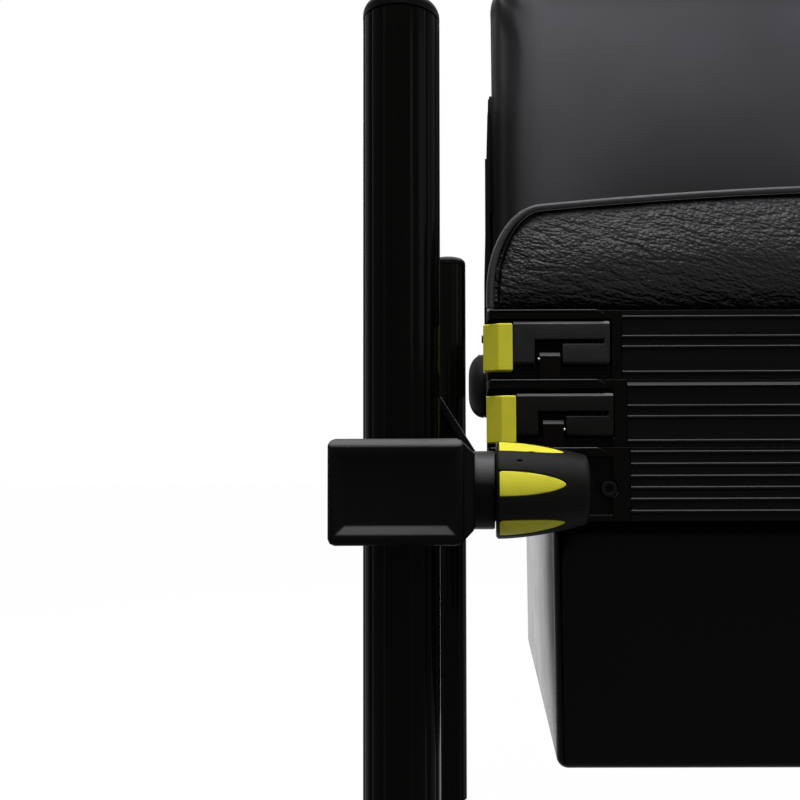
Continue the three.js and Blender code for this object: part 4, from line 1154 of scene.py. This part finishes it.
class SEATBOX_OT_recliners(bpy.types.Operator):
    """Makes the round recliner housings on the box's sides"""

    bl_idname = "seatbox.recliners"
    bl_label = "Recliner housings"

    CENTRE = (-228.3, 170, 446)
    RADIUS, OUTER, FLAT, DOME = 30, 16.7, 11, 13.5

    def execute(self, context):
        reach = self.RADIUS - self.FLAT
        profile = [
            (0, -15.2), (5.4, -15.2), (6, -15.8), (8.4, -15.8), (9, -15.2), (9.8, -self.OUTER),
            *arc((self.FLAT, -self.OUTER + self.DOME), reach, 270, 360, 14, self.DOME),
            (self.RADIUS, -2.6), (self.RADIUS - 0.6, -2.2), (self.RADIUS - 0.6, -1.4), (self.RADIUS, -1),
            (self.RADIUS, 0), (0, 0),
        ]
        disc = smoothed(turned("recliner_housing", profile, self.CENTRE, "X", 96), 35)
        spread(disc, SIDES, "recliner_housing", "soft", "seat", "block", "recliner_disc_*")
        return {"FINISHED"}


class SEATBOX_OT_cushion(bpy.types.Operator):
    """Makes the seat cushion: a crowned leather loaf with welts round its front and back panels"""

    bl_idname = "seatbox.cushion"
    bl_label = "Cushion"

    HALF, BASE, SIDE_TOP = 228, 448.5, 458
    SHOULDER, SHOULDER_TOP = 30, 504.8
    CROWN_POWER = 1.85
    FRONT, REAR = -202.5, 201.5
    UNDER = 9  # rounding at the panels' bottoms
    EDGE = 5.0  # radius of the stuffed edge behind each welt
    WELT_OUT, SEAM_OUT = 0.6, 1.7  # how far welt and seam stand in front of the panel
    SEAM_IN, SEAM_SIDE = 4.3, 2.2  # seam in from the outline, and further in at the sides
    VOXEL, CAP, PRESSURE = 4.5, 6.5, 4.0
    SEWN, SEWN_IN, FLOORED = 3.2, 4.2, 3.2  # how near the panels, the outline and the underside are held
    PANELS = 150  # distance from the middle past which a point belongs to a panel
    SWELL_FROM, SWELL_OVER, SWELL_RISE = 3, 30, 28
    REAR_LIMIT = 4.5  # furthest that the rear panel stands out
    # painted shade under the tuck: half width it rises within, height over the base, extra rise, slope, fade
    TUCK_HALF, TUCK_EDGE, TUCK_MORE, TUCK_SLOPE, TUCK_FADE = 201, 9, 16, 0.085, 6

    def execute(self, context):
        outline = [millimetres(x, self.FRONT, z) for x, z in self.outline(0.6)]
        loaf = slab("seat_cushion", outline, (0, (self.REAR - self.FRONT) * MM, 0))
        with editing(loaf, "EDGE"):
            pick("edges", lambda edge: abs(edge.verts[0].co.y - edge.verts[1].co.y) < DOUBLES and all(
                v.co.z < (self.BASE + 1) * MM for v in edge.verts
            ))
            bevelled(self.UNDER, 4)
        applied(loaf, "REMESH", mode="VOXEL", voxel_size=self.VOXEL * MM)
        applied(loaf, "SMOOTH", factor=0.5, iterations=3)
        puffed(loaf, self.is_held, self.CAP * MM, self.PRESSURE)
        self.seated(loaf)
        applied(loaf, "SUBSURF", levels=1, render_levels=1)
        note_painted_shade(loaf, self.painted_shade)
        smoothed(loaf, 80)
        placed(loaf, "cushion", "seat", "cushion_leather", "cushion")
        welt, seam = self.outline(size("welt")), self.outline(self.SEAM_IN, self.SEAM_SIDE)
        edge = self.outline(self.EDGE)
        for end, y, out in (("front", self.FRONT, -1), ("rear", self.REAR, 1)):
            self.sewn(f"cushion_edge_{end}", edge, y - out * self.EDGE, self.EDGE, "cushion")
            self.sewn(f"cushion_welt_{end}", welt, y + out * self.WELT_OUT, size("welt"), "welt")
            # the dark thread is the stitched seam, and partly painted shade in the welt's crease
            self.sewn(f"cushion_seam_{end}", seam, y + out * self.SEAM_OUT, size("seam"), "thread")
        return {"FINISHED"}

    def sewn(self, name, outline, y, radius, look):
        """Lays a round strip along an outline on one of the panels."""
        strip = piping(name, [millimetres(x, y, z) for x, z in outline], radius)
        placed(strip, look, "seat", "cushion_leather")

    def crown(self, x):
        """Height of the top above a place across the box."""
        flat = self.HALF - self.SHOULDER
        drop = (size("cushion_crown") - self.SHOULDER_TOP) * min(1, abs(x) / flat) ** self.CROWN_POWER
        return size("cushion_crown") - drop

    def outline(self, inset, side=0.0):
        """The panel's outline from bottom left over the top to bottom right, drawn in by an inset."""
        half, base = self.HALF - inset - side, self.BASE + inset
        rise = self.SHOULDER_TOP - self.SIDE_TOP
        points = [(half, base), (half, self.SIDE_TOP)]
        reach = self.SHOULDER - inset - side
        points += arc((self.HALF - self.SHOULDER, self.SIDE_TOP), reach, 6, 90, 12, rise - inset)
        flat = self.HALF - self.SHOULDER
        for k in range(9, -1, -1):
            x = flat * k / 10
            points.append((x, self.crown(x) - inset))
        left = [(-x, z) for x, z in points]
        return left + list(reversed(points[:-1]))

    def is_held(self, place):
        """Whether a point lies on the seams at the panels' edges or on the underside."""
        x, y, z = (value / MM for value in place)
        panel = min(abs(y - self.FRONT), abs(y - self.REAR)) < self.SEWN
        return (panel and self.depth_inside(x, z) < self.SEWN_IN) or z < self.BASE + self.FLOORED

    def painted_shade(self, x, z):
        """Painted shade where the leather tucks under, more so towards the middle."""
        more = min(self.TUCK_MORE, max(0.0, self.TUCK_HALF - abs(x)) * self.TUCK_SLOPE)
        return 0.8 * clamped((self.BASE + self.TUCK_EDGE + more - z) / self.TUCK_FADE)

    def depth_inside(self, x, z):
        """Roughly how far a point lies inside the outline."""
        flat = self.HALF - self.SHOULDER
        if abs(x) <= flat:
            return self.crown(x) - z
        if z <= self.SIDE_TOP:
            return self.HALF - abs(x)
        rise = (z - self.SIDE_TOP) / (self.SHOULDER_TOP - self.SIDE_TOP)
        return (1 - math.hypot((abs(x) - flat) / self.SHOULDER, rise)) * self.SHOULDER

    def seated(self, loaf):
        """Swells the panels, keeps the underside flat on the box and the sides within its width."""
        for vertex in loaf.data.vertices:
            x, y, z = (value / MM for value in vertex.co)
            if abs(y) > self.PANELS:
                inside = clamped((self.depth_inside(x, z) - self.SWELL_FROM) / self.SWELL_OVER) ** 0.6
                low = clamped((z - self.BASE) / self.SWELL_RISE) ** 0.8
                vertex.co.y += math.copysign(size("cushion_bulge") * inside * low * MM, y)
            vertex.co.z = max(vertex.co.z, (self.BASE + 0.3) * MM)
            vertex.co.y = min(vertex.co.y, (self.REAR + self.REAR_LIMIT) * MM)
            vertex.co.x = max(-self.HALF * MM, min(self.HALF * MM, vertex.co.x))


class SEATBOX_OT_backrest(bpy.types.Operator):
    """Makes the padded back with its rolled edge"""

    bl_idname = "seatbox.backrest"
    bl_label = "Back pad"

    HALF, LOW, HIGH = 223.8, 484, 905
    FRONT, REAR = 249.5, 272
    TOP_ROUND, LOW_ROUND, SEAM_ROUND = 45, 18, 26
    GROOVE_AT, GROOVE_WIDTH = 17, 12.0
    SHADE_EDGES = (3, 10, 18, 60)  # inside the outline, where the painted shade along the seam starts, is full and ends
    SHADE_LOW, SHADE_HIGH = 650, 820  # heights between which a painted shadow darkens the pad towards the seat
    VOXEL, CAP, PRESSURE = 5.0, 5.0, 3.0
    CHEEK = ((-224.4, 766), (-226.4, 745), (-227.6, 700), (-228.4, 640), (-215, 640), (-215, 766))
    CHEEK_FRONT, CHEEK_DEPTH = 262, 8

    def execute(self, context):
        outline = [millimetres(x, self.FRONT, z) for x, z in self.outline()]
        pad = slab("back_pad", outline, (0, (self.REAR - self.FRONT) * MM, 0))
        with editing(pad, "EDGE"):
            pick("edges", lambda edge: all(v.co.y < (self.FRONT + 0.1) * MM for v in edge.verts))
            bevelled(size("pad_roll"), 6)
        applied(pad, "REMESH", mode="VOXEL", voxel_size=self.VOXEL * MM)
        puffed(pad, self.is_held, self.CAP * MM, self.PRESSURE)
        applied(pad, "SUBSURF", levels=1, render_levels=1)
        self.sewn(pad)
        note_painted_shade(pad, self.painted_shade)
        smoothed(pad, 80)
        placed(pad, "back", "backrest", "back_leather", "backrest_pad")
        self.cheeks()
        return {"FINISHED"}

    def cheeks(self):
        """Thin plates that close the gaps between the uprights' tops and the pad."""
        points = [millimetres(x, self.CHEEK_FRONT, z) for x, z in self.CHEEK]
        plate = slab("upright_cheek", points, (0, self.CHEEK_DEPTH * MM, 0))
        smoothed(rounded(plate, 0.6))
        spread(plate, SIDES, "upright_cheek", "plastic", "backrest", "block")

    def painted_shade(self, x, z):
        """Painted shade along the seam, and a painted shadow low behind the cushion."""
        depth = self.depth_inside(x, z)
        start, full, waning, end = self.SHADE_EDGES
        seam = 0.95 * eased(depth, start, full) * (1 - eased(depth, waning, end))
        low = clamped((self.SHADE_HIGH - z) / (self.SHADE_HIGH - self.SHADE_LOW))
        middle = 0.9 - 0.4 * min(1.0, (x / 150) ** 2)
        return 1 - (1 - seam) * (1 - middle * low**1.2)

    def outline(self):
        corners = (
            (self.HALF, self.LOW, self.LOW_ROUND, -90), (self.HALF, self.HIGH, self.TOP_ROUND, 0),
            (-self.HALF, self.HIGH, self.TOP_ROUND, 90), (-self.HALF, self.LOW, self.LOW_ROUND, 180),
        )
        points = []
        for x, z, radius, start in corners:
            middle = (x - math.copysign(radius, x), z - radius if z == self.HIGH else z + radius)
            points += arc(middle, radius, start, start + 90, 8)
        return points

    def depth_inside(self, x, z):
        """How far a point lies inside the pad's outline, whose seam turns tighter at the top corners."""
        radius = self.SEAM_ROUND if z > (self.LOW + self.HIGH) / 2 else self.LOW_ROUND
        across, up = self.HALF - abs(x), min(self.HIGH - z, z - self.LOW)
        if across < radius and up < radius:
            return radius - math.hypot(radius - across, radius - up)
        return min(across, up)

    def is_held(self, place):
        """Whether a point lies on the back face, which is fixed to the shell."""
        return place.y / MM > self.REAR - 3

    def sewn(self, pad):
        """Draws in the seam that runs inside the rolled edge, and keeps the back flat."""
        for vertex in pad.data.vertices:
            x, y, z = (value / MM for value in vertex.co)
            if y < (self.FRONT + self.REAR) / 2:
                off = (self.depth_inside(x, z) - self.GROOVE_AT) / self.GROOVE_WIDTH
                vertex.co.y += size("pad_groove") * math.exp(-off * off) * MM
            vertex.co.y = min(vertex.co.y, self.REAR * MM)


class SEATBOX_PT_panel(bpy.types.Panel):
    """Lists the seat box's colours, sizes and the steps that dress it"""

    bl_label = "Seat Box"
    bl_idname = "SEATBOX_PT_panel"
    bl_space_type = "VIEW_3D"
    bl_region_type = "UI"
    bl_category = "Seat Box"

    def draw(self, context):
        for group in (settings(), context.scene.seat_box_sizes):
            for name in type(group).__annotations__:
                self.layout.prop(group, name)
        for operator in OPERATORS:
            self.layout.operator(operator.bl_idname)


OPERATORS = (
    SEATBOX_OT_stage, SEATBOX_OT_shells, SEATBOX_OT_knobs, SEATBOX_OT_latches, SEATBOX_OT_legs,
    SEATBOX_OT_blocks, SEATBOX_OT_screws, SEATBOX_OT_beads, SEATBOX_OT_tub, SEATBOX_OT_recliners,
    SEATBOX_OT_cushion, SEATBOX_OT_backrest,
)
CLASSES = (SeatBoxColours, SeatBoxSizes, *OPERATORS, SEATBOX_PT_panel)


def register():
    for item in CLASSES:
        bpy.utils.register_class(item)
    bpy.types.Scene.seat_box_colours = PointerProperty(type=SeatBoxColours)
    bpy.types.Scene.seat_box_sizes = PointerProperty(type=SeatBoxSizes)


def unregister():
    del bpy.types.Scene.seat_box_sizes
    del bpy.types.Scene.seat_box_colours
    for item in reversed(CLASSES):
        bpy.utils.unregister_class(item)


def main():
    """Builds every piece in order."""
    register()
    deselect()
    for operator in OPERATORS:
        group, name = operator.bl_idname.split(".")
        getattr(getattr(bpy.ops, group), name)()


if __name__ == "__main__":
    main()
